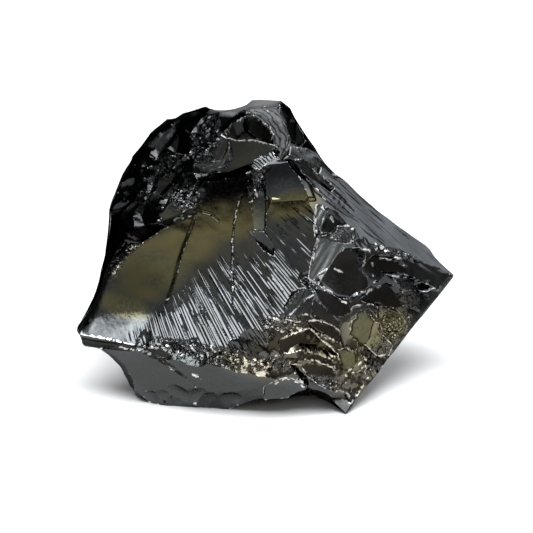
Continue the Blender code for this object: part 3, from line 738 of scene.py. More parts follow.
def hackles(right, up):
    """Height, from 0 to 1, of the lances that stand out, and stop and start, among the hackles."""
    across, along = fan_of(right, up)
    across = across / LANCE
    across += LANCE_WANDER * shifted_noise(across, along, LANCE_WANDERS, "lance wander")
    lance = np.floor(across)
    tooth = across - lance
    fall = LANCE_FALL[0] + LANCE_FALL[1] * smooth_step(*LANCE_FALLS, up)
    vigour = shifted_noise(lance, along, LANCE_BREAKS, "lance breaks")
    vigour = vigour + LANCE_LOW_STRENGTH * smooth_step(*LANCE_LOW, up)
    return np.minimum(tooth / (1 - fall), (1 - tooth) / fall) * smooth_step(*LANCE_STRENGTH, vigour)


def curl(right, up):
    """The lower left corner of the great face curls up towards the light."""
    below = np.maximum(CURL_BELOW - up, 0.0)
    return CURL_SLOPE * (np.hypot(below, CURL_SOFT) - CURL_SOFT) * (1 - smooth_step(*CURL_ENDS, right))


def swell(away, height, width):
    """A rounded ridge, or a groove if its height is below 0."""
    return height * np.exp(-((away / width) ** 2))


def cracks(right, up):
    """Hairline cracks, one of them with a step beside it."""
    away, side = from_line(right, up, DARK_CRACK)
    height = swell(away, *DARK_CRACK_FORM)
    height += DARK_CRACK_STEP[0] * smooth_step(*DARK_CRACK_EDGE, side) * swell(away, 1.0, DARK_CRACK_STEP[1])
    for line, form in ((BRIGHT_CRACK, BRIGHT_CRACK_FORM), (SPUR_CRACK, SPUR_CRACK_FORM)):
        height += swell(from_line(right, up, line)[0], *form)
    return height


def lower_face(right, up):
    """The lower face has one crease, faint rings below it, and slow ripples."""
    away, side = from_line(right, up, CREASE)
    height = CREASE_STEP[0] * smooth_step(*CREASE_EDGE, side) * swell(away, 1.0, CREASE_STEP[1])
    height += swell(away, *CREASE_FORM)
    ring_height, spacing = LOW_RINGS_FORM
    ringed = swell(np.hypot((right - LOW_RINGS[0]) / LOW_RINGS_WIDTH, up - LOW_RINGS[1]), 1.0, 1.0)
    height += ring_height * ringed * rings(LOW_RINGS, spacing)(right, up)
    for ripple, often_across, often_up in RIPPLES:
        height += ripple * noise_at(right * often_across, up * often_up)
    return height


def turned_by(right, up, lie):
    """How far each place is across and along a lie."""
    return up * math.cos(lie) - right * math.sin(lie), right * math.cos(lie) + up * math.sin(lie)


def streaks(right, up):
    """Long streaks that run down to the right."""
    across, along = turned_by(right, up, BANDS_LIE)
    slow = noise_at(across * STREAKS[0], along * STREAKS[1])
    return slow + FINE_STREAK_SHARE * noise_at(across * FINE_STREAKS[0], along * FINE_STREAKS[1])


def strokes(right, up):
    """Long shallow strokes that run up and to the right."""
    return shifted_noise(*turned_by(right, up, STROKES_LIE), STROKES, "strokes")


def rings(middle, spacing):
    """Relief of rounded ribs in rings round a middle, like those where a shell-shaped flake came off."""
    def height(right, up):
        away = np.hypot(right - middle[0], up - middle[1])
        away = away + RING_BEND * noise_at(right * RING_BENDS, up * RING_BENDS)
        strength = RING_STRENGTH[0] + RING_STRENGTH[1] * shifted_noise(right, up, RING_FADES, "rings")
        return np.abs(np.sin(math.pi * away / spacing)) * np.clip(strength, RING_WEAKEST, 1.0)
    return height


def rims(right, up):
    """Height, from 0 to 1, of the rims, raised in the relief and painted as highlights in the material. They
    are broken here and there.
    """
    height = np.zeros(len(right))
    for line in RIMS:
        ends = np.array(line)
        low, high = ends.min(axis=0) - RIM_MARGIN, ends.max(axis=0) + RIM_MARGIN
        near = (right > low[0]) & (right < high[0]) & (up > low[1]) & (up < high[1])
        if near.any():
            wander = RIM_WANDER * noise_at(right[near] * RIM_WANDERS, up[near] * RIM_WANDERS)
            away, side = from_line(right[near], up[near], line)
            ridge = swell(side + wander, 1.0, RIM_WIDTH) * (away < RIM_REACH)
            height[near] = np.maximum(height[near], ridge)
    return height * smooth_step(*RIM_WHOLE, shifted_noise(right, up, RIM_GAPS, "gaps"))


# Relief within an outline: the outline, how soft its rim is, how high the relief is, in mm, and its form.
RELIEF = (
    (GREAT_FACE, 0.5, 1.0, cracks),
    (GREAT_FACE, 0.3, 1.0, curl),
    (LOWER_FACE, 0.8, 1.0, lower_face),
    (BANDS, BANDS_RIM, STREAK_HEIGHT, streaks),
    *(
        (FACES[name].outline, ribbed[0], ribbed[1], rings(middle, ribbed[2]))
        for name, (middle, _, ribbed) in RINGED.items() if ribbed
    ),
)
LEAST_MASK = 0.01  # where less of a relief is left, it is left out


def relief(points):
    """How far, in mm, the fine relief of the front raises the stone's surface at these points."""
    right, up = as_seen(points)
    height = np.zeros(len(points))
    front = points[:, 2] > FRONT
    stroked = np.max([inside(right, up, FACES[name].outline, STROKED_RIM) for name in STROKED], axis=0)
    for mask, amount, form in (
        (hackled(right, up), HACKLE_HEIGHT, hackles),
        *((inside(right, up, outline, rim), amount, form) for outline, rim, amount, form in RELIEF),
        (stroked, STROKE_HEIGHT, strokes),
        (np.ones_like(up), RIM_HEIGHT, rims),
    ):
        within = front & (mask > LEAST_MASK)
        height[within] += amount * mask[within] * form(right[within], up[within])
    return height


def carved_stone():
    """The stone with its scars, its cave and its flat faces."""
    stone = Stone([seen(*place) if len(place) == 3 else on_floor(*place) for place in CORNERS.values()])
    for name, (where, facing, half_widths, depth, lie) in SCARS.items():
        anchor = stone.at(where)
        relief = None
        if name in RIBBED:
            strike, spacing, height = RIBBED[name]
            relief = ribs(stone.at(strike), spacing, height)
        stone.scars.append(Scar(anchor, turned(*facing), half_widths, depth, lie, relief))
        if name == "great face":
            stone.scars.append(Pocket(CAVE.values()))
    set_in_faces(stone)
    return stone


def set_in_faces(stone):
    """Sets each flat face so deep that the stone needs next to no filling under it."""
    places = [[face.through or np.mean(face.outline, axis=0), *face.outline] for face in FACES.values()]
    points = stone.seen_at([place for group in places for place in group])
    first = 0
    for face, group in zip(FACES.values(), places):
        middle, *rim = points[first : first + len(group)]
        first += len(group)
        normal = turned(*face.facing)
        lowest = min((point - middle) @ normal for point in rim)
        lower = np.clip(lowest + face.fill, -FACE_SINK, 0.0) if face.through is None else 0.0
        stone.faces.append((face, normal, middle + normal * lower))


# Scars with ribs: where the flake was struck, the ribs' spacing and their height.
RIBBED = {
    "shell": ((12.4, 2.2), 1.2, 0.03),
    "shell right": ((17.4, -4.6), 0.9, 0.04),
    "slab": ((24.0, 0.0), 1.6, 0.02),
    "flow": ((3.0, 14.4), 0.8, 0.05),
}


def crumble(stone, seed, zones):
    """Chips away the stone in its crumbled zones. Every chip starts at the surface as the scars left it."""
    dice = random.Random(seed)
    places = []
    chips = []
    for zone in zones.values():
        a = math.radians(zone.lie)
        long, wide = zone.half_widths
        for _ in range(zone.count):
            along = dice.uniform(-long, long)
            across = dice.uniform(-wide, wide)
            places.append((
                zone.middle[0] + along * math.cos(a) - across * math.sin(a),
                zone.middle[1] + along * math.sin(a) + across * math.cos(a),
            ))
            size = dice.uniform(*zone.sizes)
            stray = np.array((dice.gauss(0, zone.stray), dice.gauss(0, zone.stray)))
            half_widths = (size * dice.uniform(1.0, zone.longest), size)
            lie = zone.lie + dice.gauss(0, 90 / zone.longest)
            chips.append((zone.facing, stray, half_widths, size * zone.depth, lie))
    anchors = stone.seen_at(places)
    _, outward = patches(stone.plain_surface, unit(anchors - HEART), PLAIN_STEP)
    for anchor, normal, (facing, stray, *chip) in zip(anchors, outward, chips):
        along = (math.degrees(math.atan2(normal[0], normal[2])), math.degrees(math.asin(normal[1])))
        facing = turned(*((facing or along) + stray))
        if FRONT < anchor[2] < NEAREST and facing @ normal > LEAST_ALONG:
            stone.scars.append(Scar(anchor, facing, *chip))


def chip_back(stone, seed):
    """Shallow chips all over the side of the stone that is turned away."""
    dice = random.Random(seed)
    spread = [(180 + dice.uniform(*BACK_RIGHT), dice.uniform(*BACK_UP)) for _ in range(BACK_CHIPS)]
    aims = np.array([turned(right, up) for right, up in spread])
    points, facing = patches(lambda directions: surface(stone, directions), aims)
    for point, outward in zip(points, facing):
        size = dice.uniform(*BACK_CHIP_SIZES)
        tilt = np.array([dice.gauss(0, BACK_CHIP_TILT) for _ in range(3)])
        half_widths = (size * dice.uniform(1.0, BACK_CHIP_LONGEST), size)
        depth = size * BACK_CHIP_DEPTH
        stone.scars.append(Scar(point, unit(outward + tilt), half_widths, depth, dice.uniform(0, 180)))


# Crumbs too small for the solid, in zones like CRUMBLES.
CRUMBS = {
    "lower ridge": Zone((-8.0, -11.4), (8.4, 0.9), -12, (-8, 12), 120, (0.22, 0.5)),
    "dome middle": Zone((-14.4, 13.0), (3.4, 1.1), 10, (-40, 14), 60, (0.22, 0.4), 0.22, 2.5, 14),
    "dome left": Zone((-16.6, 10.0), (2.2, 1.4), 50, (-44, 12), 40, (0.22, 0.4), 0.22, 3.0, 14),
    "rim": Zone((-10.8, 8.9), (2.6, 1.2), 26, (-34, 12), 50, (0.22, 0.45), 0.22, 2.5, 14),
    "dome column": Zone((-8.4, 17.0), (3.6, 1.4), 86, (-28, 12), 80, (0.22, 0.45), 0.22, 2.0, 14),
    "lower left of it": Zone((1.4, -7.6), (3.0, 0.7), -8, (10, 4), 30, (0.22, 0.5)),
    "below it": Zone((0.4, -12.6), (3.4, 0.9), -12, (4, 4), 50, (0.22, 0.5)),
    "bottom right": Zone((8.0, -15.2), (3.6, 0.7), -8, (14, 0), 50, (0.22, 0.5)),
    "right edge": Zone((14.8, -10.4), (6.4, 1.1), 50, (32, 4), 90, (0.22, 0.5), 0.2, 2.0, 20),
    "right upper": Zone((15.5, 2.0), (4.4, 0.4), -12, (36, 24), 30, (0.22, 0.5)),
    "step top": Zone((-0.8, 10.6), (1.8, 0.5), 84, (-8, 16), 20, (0.22, 0.4)),
    "valley": Zone((5.4, -2.4), (1.8, 0.5), -60, (6, 12), 16, (0.22, 0.45)),
}


def swayed(directions):
    """The directions, swayed a little by smooth noise, so that no edge of the stone is quite straight."""
    moved = np.empty_like(directions)
    for row, direction in enumerate(directions):
        place = Vector(direction)
        for often, by in (SLOW_SWAY, FAST_SWAY):
            often_there = Vector(direction) * often
            place += Vector([noise.noise(often_there + Vector(shift)) for shift in SWAY_SHIFTS]) * by
        moved[row] = place
    return unit(moved)


def surface(stone, directions):
    """The points where the stone's surface is, in these directions from its heart. Its base is cut flat."""
    down = np.array((0.0, -math.cos(FRONT_TILT), -math.sin(FRONT_TILT)))
    toward = directions @ down
    under = -FLOOR - HEART @ down
    base = np.where(toward > TINY, under / np.maximum(toward, TINY), np.inf)
    reach = faced(stone, directions, stone.reach(swayed(directions)))
    reach += relief(HEART + directions * reach[:, None])
    return HEART + directions * np.minimum(reach, base)[:, None]


def faced(stone, directions, reach):
    """The reach with the flat faces set in."""
    points = HEART + directions * reach[:, None]
    right, up = as_seen(points)
    front = points[:, 2] > FRONT
    for face, normal, middle in stone.faces:
        corners = np.array(face.outline)
        low, high = corners.min(axis=0) - face.rim, corners.max(axis=0) + face.rim
        near = front & (right > low[0]) & (right < high[0]) & (up > low[1]) & (up < high[1])
        if not near.any():
            continue
        mask = inside(right[near], up[near], face.outline, face.rim)
        toward = np.maximum(directions[near] @ normal, FLATTEST)
        flat = (middle - HEART) @ normal / toward
        away = np.hypot(*(np.column_stack((right, up))[near] - corners.mean(axis=0)).T)
        flat -= face.hollow * np.maximum(1 - (away / np.ptp(corners, axis=0).max() * 2) ** 2, 0)
        reach[near] += mask * np.clip(flat - reach[near], -FACE_CUT, face.fill)
    return reach


def direction_grid(squares):
    """A cube's grid of squares pushed out to a rounded shape like the stone's: directions and squares."""
    work = bmesh.new()
    bmesh.ops.create_cube(work, size=2.0)
    bmesh.ops.subdivide_edges(work, edges=work.edges, cuts=squares - 1, use_grid_fill=True)
    cube = np.array([vert.co for vert in work.verts])
    faces = np.array([[vert.index for vert in face.verts] for face in work.faces])
    work.free()
    sphere = unit(np.tan(cube * (math.pi / 4)))
    near = sphere[:, 2:]
    side = sphere[:, :2] * math.sqrt(1 - FRONT_CROWDING**2)
    crowded = np.hstack((side, near + FRONT_CROWDING)) / (1 + FRONT_CROWDING * near)
    return unit(crowded * STRETCH), faces


def patches(surface_at, directions, step=PATCH_STEP):
    """A surface's points in these directions, and which way it faces there, over a step in radians."""
    aside = unit(np.cross(directions, np.where(np.abs(directions[:, :1]) < 0.8, (1.0, 0, 0), (0, 1.0, 0))))
    above = np.cross(directions, aside)
    points = surface_at(directions)
    first = surface_at(unit(directions + aside * step)) - points
    second = surface_at(unit(directions + above * step)) - points
    facing = unit(np.cross(first, second))
    return points, facing * np.sign((facing * directions).sum(axis=1))[:, None]


def drawn_to_edges(directions, faces, points, facing):
    """Each vertex where the planes of the patches round it meet, so that edges and corners stay sharp."""
    count = len(directions)
    middle = np.zeros((count, 3))
    planes = np.zeros((count, 3, 3))
    target = np.zeros((count, 3))
    used = np.zeros(count)
    outer = facing[:, :, None] * facing[:, None, :]
    pull = facing * (facing * points).sum(axis=1)[:, None]
    for corner in faces.T:
        np.add.at(middle, corner, points)
        np.add.at(planes, corner, outer)
        np.add.at(target, corner, pull)
        np.add.at(used, corner, 1.0)
    middle /= used[:, None]
    planes = planes / used[:, None, None] + np.eye(3) * EDGE_PULL
    target = target / used[:, None] + middle * EDGE_PULL
    moved = np.linalg.solve(planes, target[:, :, None])[:, :, 0] - middle
    size = np.zeros(count)
    for corner in faces.T:
        np.maximum.at(size, corner, np.linalg.norm(points - middle[corner], axis=1))
    length = np.linalg.norm(moved, axis=1)
    return middle + moved * np.minimum(1.0, FARTHEST_PULL * size / np.maximum(length, TINY))[:, None]


def split_squares(faces, vertices, points):
    """Two triangles for each square, along the diagonal that lies nearer the surface at its middle."""
    a, b, c, d = (vertices[column] for column in faces.T)
    one = np.linalg.norm((a + c) / 2 - points, axis=1)
    two = np.linalg.norm((b + d) / 2 - points, axis=1)
    along_one = faces[:, [0, 1, 2, 0, 2, 3]]
    along_two = faces[:, [0, 1, 3, 1, 2, 3]]
    return np.where((one <= two)[:, None], along_one, along_two).reshape(-1, 3)


def stone_mesh(stone, squares):
    """The stone's vertices, in the frame of its front, and its triangles."""
    directions, faces = direction_grid(squares)
    points, facing = patches(lambda aims: surface(stone, aims), unit(directions[faces].mean(axis=1)))
    vertices = drawn_to_edges(directions, faces, points, facing)
    return vertices, split_squares(faces, vertices, points)


def upright(vertices):
    """Turns the frame of the stone's front upright, with the resting surface at z = 0, in metres."""
    right, up, near = vertices.T
    away = up * math.sin(FRONT_TILT) - near * math.cos(FRONT_TILT)
    height = up * math.cos(FRONT_TILT) + near * math.sin(FRONT_TILT) - FLOOR
    height = np.where(height < FLAT_WITHIN, 0.0, height)
    return np.column_stack((right - MIDDLE[0], away - MIDDLE[1], height)) * MM


def attribute(mesh, name, values):
    """A value for each vertex, for the material to read."""
    layer = mesh.attributes.new(name, "FLOAT", "POINT")
    layer.data.foreach_set("value", values.astype(np.float32))


def blob(right, up, middle, half_widths, lie=0.0):
    """1 in the middle of a soft oval, falling to 0 at its rim."""
    a = math.radians(lie)
    off_r, off_u = right - middle[0], up - middle[1]
    along = off_r * math.cos(a) + off_u * math.sin(a)
    across = off_u * math.cos(a) - off_r * math.sin(a)
    return 1 - smooth_step(BLOB_CORE, 1.0, np.hypot(along / half_widths[0], across / half_widths[1]))


# Where the stone looks otherwise in soft ovals, each with its middle as seen, its half widths and its lie.
# Its colour takes an olive tint, partly bronze tarnish and partly a painted warm reflection; a brown one,
# partly a painted warm reflection, under the ledges and along the right edge; under the lip it is dulled and
# darkened, as painted shade; it is crushed to sparkling crumbs; and it bears a satin bloom, a lighter grey
# that paints a sheen.
BLOB_CORE = 0.35  # the share of an oval that isn't faded
UNDULLED_RIM = 0.5  # the great face isn't dulled or darkened, up to so soft a rim
PATCHES = {
    "tarnish_and_painted_reflection": (
        ((-14.5, 0.2), (9.0, 5.4), 36),
        ((-19.0, -5.0), (5.0, 2.2), -14),
        ((-10.4, 3.4), (7.0, 4.6), 28),
        ((-5.4, 6.2), (6.6, 4.0), 6),
        ((3.4, 8.2), (5.0, 2.6), 12),
        ((12.9, -8.4), (3.0, 3.6), 60),
        ((11.1, -12.2), (2.4, 2.0), 0),
        ((16.4, -7.6), (3.0, 2.6), 0),
    ),
    "browned_and_painted_reflection": (
        ((6.0, -10.6), (10.0, 5.6), -6),
        ((15.0, -8.6), (9.0, 4.2), 49),
        ((11.6, -14.6), (4.6, 3.4), 20),
        ((-2.0, -13.0), (7.0, 2.2), -16),
    ),
    "dulled_and_painted_shade": (
        ((-12.0, -14.4), (14.0, 4.4), -10),
        ((-1.0, -16.4), (8.0, 2.0), 0),
        ((9.0, -17.8), (4.4, 2.2), -30),
    ),
    "crumbly": (
        ((-8.0, -11.4), (8.6, 1.5), -14),
        ((-14.5, 13.0), (3.6, 1.9), 10),
        ((-16.4, 10.2), (2.6, 2.2), 40),
        ((-10.6, 9.2), (2.6, 2.0), 20),
        ((-8.2, 17.2), (2.6, 4.2), 0),
        ((-0.8, 11.0), (0.9, 1.8), 0),
        ((5.6, -2.2), (1.2, 0.8), -40),
        ((2.0, -7.4), (3.4, 1.1), -8),
        ((1.0, -12.8), (3.4, 1.1), -8),
        ((8.0, -15.2), (3.4, 0.9), -8),
        ((15.2, -10.4), (7.4, 1.6), 49),
        ((16.6, 2.0), (3.4, 0.6), -14),
        ((19.4, -4.4), (2.2, 1.4), 0),
        ((-19.4, 1.0), (1.0, 3.6), -30),
    ),
    "painted_sheen_bloom": (
        ((-0.6, 21.6), (2.6, 0.6), 6),
        ((-5.0, 20.1), (1.6, 0.45), 6),
    ),
}
# How much a face is darkened with painted shade, so that it stays black in any light, and how strong its
# painted sheen, a lighter grey, is.
PAINTED_SHADE_FACES = {
    "dark strip": 0.8, "under the tip": 0.3, "step foot": 0.6, "neck": 0.8, "dark spur": 0.5, "roof": 0.8,
    "dome hollow": 0.8, "dome back": 0.8, "dark notch": 0.5, "scallop right": 0.3, "hollow": 0.2,
}
SATIN_AND_PAINTED_SHEEN = {
    "hood": 1.0, "leaf": 0.8, "step": 0.15, "green spur": 0.7, "green": 0.85, "sheen": 0.4, "light spur": 0.4,
    "bands": 0.8, "grey chip": 0.3, "grey chip low": 0.2, "fan": 0.5,
}
# Where else the stone is darkened with painted shade: how much, how soft the rim of the area is, in mm, and
# its outline as seen.
PAINTED_SHADE_AREAS = {
    "left edge": (1.0, 0.4, (
        (-24.8, -8.8), (-23.6, -8.9), (-22.4, -6.4), (-21.2, -3.0), (-20.1, -0.4), (-18.4, 1.2), (-16.6, 2.8),
        (-14.0, 4.6), (-9.2, 7.0), (-9.4, 7.6), (-14.4, 5.8), (-18.0, 5.2), (-20.6, 8.0), (-22.4, 0.0),
        (-25.4, -5.2),
    )),
    "neck": (1.0, 0.4, (
        (1.9, 21.7), (3.6, 20.4), (5.4, 18.4), (7.2, 17.2), (7.6, 14.4), (5.4, 15.5), (4.3, 15.7),
        (3.2, 16.2), (2.4, 19.2), (1.6, 20.8),
    )),
    "under the cave": (0.8, 3.4, (
        (-10.4, 9.6), (-9.3, 13.2), (-5.0, 13.4), (-1.3, 13.2), (-1.6, 9.0), (-5.2, 8.2),
    )),
    "forehead": (0.8, 0.5, (
        (-6.2, 18.0), (-4.6, 19.5), (-3.4, 20.4), (-1.4, 20.5), (-1.8, 19.9), (-3.4, 19.4), (-5.0, 17.6),
    )),
    "tip": (0.65, 0.6, ((8.4, -17.4), (10.0, -17.0), (11.4, -18.2), (10.4, -19.8), (8.8, -18.8))),
    "cave": (0.4, 0.8, (
        (-6.8, 12.6), (-7.0, 15.0), (-5.0, 17.0), (0.6, 17.0), (0.7, 15.4), (-0.3, 14.6), (-1.8, 14.1),
        (-2.3, 13.1), (-1.4, 12.5),
    )),
    "scoop": (0.7, 2.4, (
        (-0.6, 10.8), (-0.4, 12.8), (1.4, 14.4), (3.4, 15.2), (5.0, 13.4), (6.4, 10.8), (3.2, 11.4),
    )),
    "great left": (0.4, 3.0, (
        (-20.6, -1.0), (-17.0, 1.0), (-13.6, -0.6), (-13.0, -3.6), (-18.0, -5.2), (-20.8, -4.4),
    )),
    "shell right": (0.5, 1.0, (
        (12.4, 2.0), (19.5, 0.8), (22.6, -1.4), (22.0, -3.6), (19.6, -6.2), (12.2, -5.0), (12.9, -2.0),
    )),
    "dome": (0.66, 1.6, (
        (-20.4, 2.6), (-22.0, 9.0), (-19.0, 16.0), (-12.0, 21.5), (-8.0, 21.0), (-6.4, 16.4), (-6.2, 12.6),
        (-9.8, 11.2), (-14.0, 9.0), (-16.0, 5.0),
    )),
}


def edges_of(mesh, vertices):
    """How much each vertex stands out from its neighbours, for their distance: high on a sharp edge."""
    pairs = np.empty(len(mesh.edges) * 2, dtype=np.int32)
    mesh.edges.foreach_get("vertices", pairs)
    first, second = pairs.reshape(-1, 2).T
    count = np.zeros(len(vertices))
    middle = np.zeros((len(vertices), 3))
    spacing = np.zeros(len(vertices))
    apart = np.linalg.norm(vertices[first] - vertices[second], axis=1)
    for here, there in ((first, second), (second, first)):
        np.add.at(count, here, 1.0)
        np.add.at(middle, here, vertices[there])
        np.add.at(spacing, here, apart)
    normals = np.empty(len(vertices) * 3)
    mesh.vertex_normals.foreach_get("vector", normals)
    right, away, up = normals.reshape(-1, 3).T
    facing = np.column_stack((
        right,
        away * math.sin(FRONT_TILT) + up * math.cos(FRONT_TILT),
        up * math.sin(FRONT_TILT) - away * math.cos(FRONT_TILT),
    ))
    raised = ((vertices - middle / count[:, None]) * facing).sum(axis=1)
    return raised / (spacing / count)


def in_faces(right, up, strengths):
    """The strength of the face that each place is in."""
    masks = [inside(right, up, FACES[name].outline, FACE_RIM) * by for name, by in strengths.items()]
    return np.max(masks, axis=0)


def painted_shade_at(right, up):
    """How much painted shade darkens each place, from 0 to 1: in faces, in areas and along the dark cracks.
    """
    painted_shade = in_faces(right, up, PAINTED_SHADE_FACES)
    for amount, soft, outline in PAINTED_SHADE_AREAS.values():
        painted_shade = np.maximum(painted_shade, inside(right, up, outline, soft) * amount)
    # Along the dark cracks the stone is darkened: painted shade in the creases.
    for line in (DARK_CRACK, SPUR_CRACK):
        painted_shade = np.maximum(painted_shade, swell(from_line(right, up, line)[0], 1.0, CRACK_PAINTED_SHADE))
    return painted_shade


def ringed_at(right, up):
    """1 on the ringed faces, falling to 0 outside them, and the number of the ring that each place is on."""
    ringed, ring = np.zeros((2, len(right)))
    for name, (middle, spacing, _) in RINGED.items():
        mask = inside(right, up, FACES[name].outline, RINGED_RIM)
        ring = np.where(mask > ringed, np.hypot(right - middle[0], up - middle[1]) / spacing, ring)
        ringed = np.maximum(ringed, mask)
    return ringed, ring


def add_looks(mesh, vertices):
    """Gives each vertex the values that the material reads."""
    right, up = as_seen(vertices)
    faded = smooth_step(*FADE, vertices[:, 2])
    front = vertices[:, 2] > FRONT
    spots = {}
    for name, patches in PATCHES.items():
        spots[name] = np.max([blob(right, up, *patch) for patch in patches], axis=0)
    # The lower faces, but not the great face, are dulled and darkened: painted shade.
    spots["dulled_and_painted_shade"] *= 1 - inside(right, up, GREAT_FACE, UNDULLED_RIM)
    spots["hackled"] = np.maximum(hackled(right, up), FINE_LINES * inside(right, up, LINED, LINED_RIM))
    spots["streaked"] = inside(right, up, BANDS, BANDS_RIM)
    spots["rim"] = rims(right, up)
    # Satin faces and blooms are rougher and a lighter grey: a painted sheen.
    satin_and_painted_sheen = np.maximum(in_faces(right, up, SATIN_AND_PAINTED_SHEEN), spots.pop("painted_sheen_bloom"))
    for name, values in spots.items():
        attribute(mesh, name, values * faded)
    # Edges are painted pale as highlights by how sharp they are; the blade's tip, in painted shade, gets
    # none.
    _, soft, outline = PAINTED_SHADE_AREAS["tip"]
    without_painted_highlight = inside(right, up, outline, soft)
    across, along = fan_of(right, up)
    ringed, ring = ringed_at(right, up)
    for name, values in {
        "edge": edges_of(mesh, vertices) * (1 - without_painted_highlight),
        "satin_and_painted_sheen": satin_and_painted_sheen * front,
        "painted_shade": painted_shade_at(right, up) * front,
        "ringed": ringed * front,
        "ring": ring,
        "across": across,
        "along": along,
    }.items():
        attribute(mesh, name, values)


def make_nugget():
    """The whole stone: its mesh, the values that its material reads, and the material."""
    stone = carved_stone()
    chip_back(stone, BACK_SEED)
    crumble(stone, CRUMBLE_SEED, CRUMBLES)
    crumble(stone, CRUMB_SEED, CRUMBS)
    vertices, triangles = stone_mesh(stone, GRID)
    mesh = bpy.data.meshes.new("nugget_stone")
    mesh.from_pydata(upright(vertices).tolist(), [], triangles.tolist())
    add_looks(mesh, vertices)
    mesh.shade_smooth()
    mesh.set_sharp_from_angle(angle=SHARP)
    mesh.materials.append(shungite())
    nugget = bpy.data.objects.new("nugget_stone", mesh)
    bpy.context.collection.objects.link(nugget)
    return nugget


class Value:
    """An output of a node, to reckon with. Each sum, difference, product or quotient adds a node."""

    def __init__(self, nodes, socket):
        self.nodes, self.socket = nodes, socket

    def __add__(self, other):
        return self.nodes.math("ADD", self, other)

    def __sub__(self, other):
        return self.nodes.math("SUBTRACT", self, other)

    def __rsub__(self, other):
        return self.nodes.math("SUBTRACT", other, self)

    def __mul__(self, other):
        return self.nodes.math("MULTIPLY", self, other)

    def __truediv__(self, other):
        return self.nodes.math("DIVIDE", self, other)


class Nodes:
    """A small helper that adds and links the nodes of one tree."""

    def __init__(self, tree):
        self.tree = tree

    def feed(self, socket, value):
        """Links a value to a socket, or sets it there."""
        if isinstance(value, Value):
            self.tree.links.new(value.socket, socket)
        else:
            socket.default_value = value

    def add(self, kind, inputs=None, output=0, **settings):
        """Adds a node and gives one of its outputs."""
        node = self.tree.nodes.new(kind)
        for name, value in settings.items():
            setattr(node, name, value)
        for name, value in (inputs or {}).items():
            self.feed(node.inputs[name], value)
        return Value(self, node.outputs[output])

    def math(self, operation, *values):
        inputs = dict(enumerate((*values, 0.0) if len(values) == 1 else values))
        return self.add("ShaderNodeMath", inputs, operation=operation)

    def vector(self, operation, first, second, output=0):
        return self.add("ShaderNodeVectorMath", {0: first, 1: second}, output, operation=operation)

    def attribute(self, name):
        return self.add("ShaderNodeAttribute", output="Fac", attribute_name=name)

    def noise(self, place, often, layers):
        return self.add("ShaderNodeTexNoise", {"Vector": place, "Scale": often, "Detail": layers})

    def ramp(self, value, low, high, to_low=0.0, to_high=1.0):
        inputs = {"Value": value, "From Min": low, "From Max": high, "To Min": to_low, "To Max": to_high}
        return self.add("ShaderNodeMapRange", inputs, interpolation_type="SMOOTHSTEP")

    def mix(self, factor, first, second):
        node = self.tree.nodes.new("ShaderNodeMix")
        node.data_type = "RGBA"
        for name, value in (("Factor", factor), ("A", first), ("B", second)):
            self.feed(next(s for s in node.inputs if s.name == name and s.enabled), value)
        return Value(self, next(s for s in node.outputs if s.enabled))


BLACK = (0.082, 0.086, 0.090, 1.0)
DEEP_BLACK = (0.060, 0.062, 0.064, 1.0)
# An olive tint, partly bronze tarnish and partly a painted warm reflection.
OLIVE = (0.170, 0.154, 0.088, 1.0)
# A brown tint, partly the stone's own and partly a painted warm reflection.
BROWN = (0.110, 0.098, 0.078, 1.0)
# Darker and dulled, on the lower faces: painted shade.
DULL_PAINTED_SHADE = (0.060, 0.062, 0.061, 1.0)
# Pale and cream edges and rims: painted highlights, as if crushed.
CRUSHED_PAINTED_HIGHLIGHT = (0.70, 0.70, 0.69, 1.0)
CREAM_PAINTED_HIGHLIGHT = (0.74, 0.69, 0.56, 1.0)
# Near black: painted shade, so that a place stays black in any light.
PAINTED_SHADE = (0.008, 0.008, 0.008, 1.0)
# A lighter grey for satin faces: a painted sheen.
PAINTED_SHEEN_GREY = (0.190, 0.196, 0.200, 1.0)
GLANCING = (0.55, 0.55, 0.55, 1.0)  # how it shines at a glancing angle
# Near black at a glancing angle too, where painted shade lies.
GLANCING_IN_PAINTED_SHADE = (0.02, 0.02, 0.02, 1.0)
# Noise in the material: how often it comes in a metre, and how many layers it has.
CLOUD = (260.0, 3.0)
GRAIN = (2600.0, 4.0)
WAVES = (700.0, 2.0)
MOTTLE = (1500.0, 2.0)
RING_NOISE = (420.0, 2.0)
RING_WANDER = 2.6
CLOUDED = (0.35, 0.65)  # from deep black to black
# Where an edge or a rim is painted pale as a highlight, as if crushed: how far the grain breaks it up, and
# from where to where it turns pale.
EDGE_SPECKLE, EDGE_PALE = 0.9, (0.30, 0.40)
RIM_SPECKLE, RIM_PALE = 1.6, (0.5, 0.7)
EDGE_DULLED = 0.6  # how far it is less pale where the stone is dulled and darkened, and where it lies in painted shade
EDGE_IN_PAINTED_SHADE = 0.85
GROOVE = (0.55, 0.1)  # from where to where a fine ring's groove is darkened with painted shade, and how strongly
GROOVE_PAINTED_SHADE = 0.85
# How rough the polish is, by its grain, and how much rougher it is where the stone isn't polished.
POLISH_GRAIN, POLISH = (0.3, 0.75), (0.10, 0.24)
EDGE_ROUGHER, DULL_ROUGHER, SATIN_ROUGHER = 0.25, 0.10, 0.22
# Heights of the finest relief, in metres.
FINE_HACKLE_HEIGHT = 0.055 * MM
FINE_STREAK_HEIGHT = 0.10 * MM
RING_HEIGHT = 0.06 * MM
MOTTLE_HEIGHT = 0.03 * MM
WAVE_HEIGHT = 0.018 * MM
GRAIN_HEIGHT = 0.004 * MM
CRUMBS_BIG = (0.42 * MM, 1.5)  # how wide a facet of the crumbs is, in metres, and how much it tilts
CRUMBS_SMALL = (0.2 * MM, 0.8)
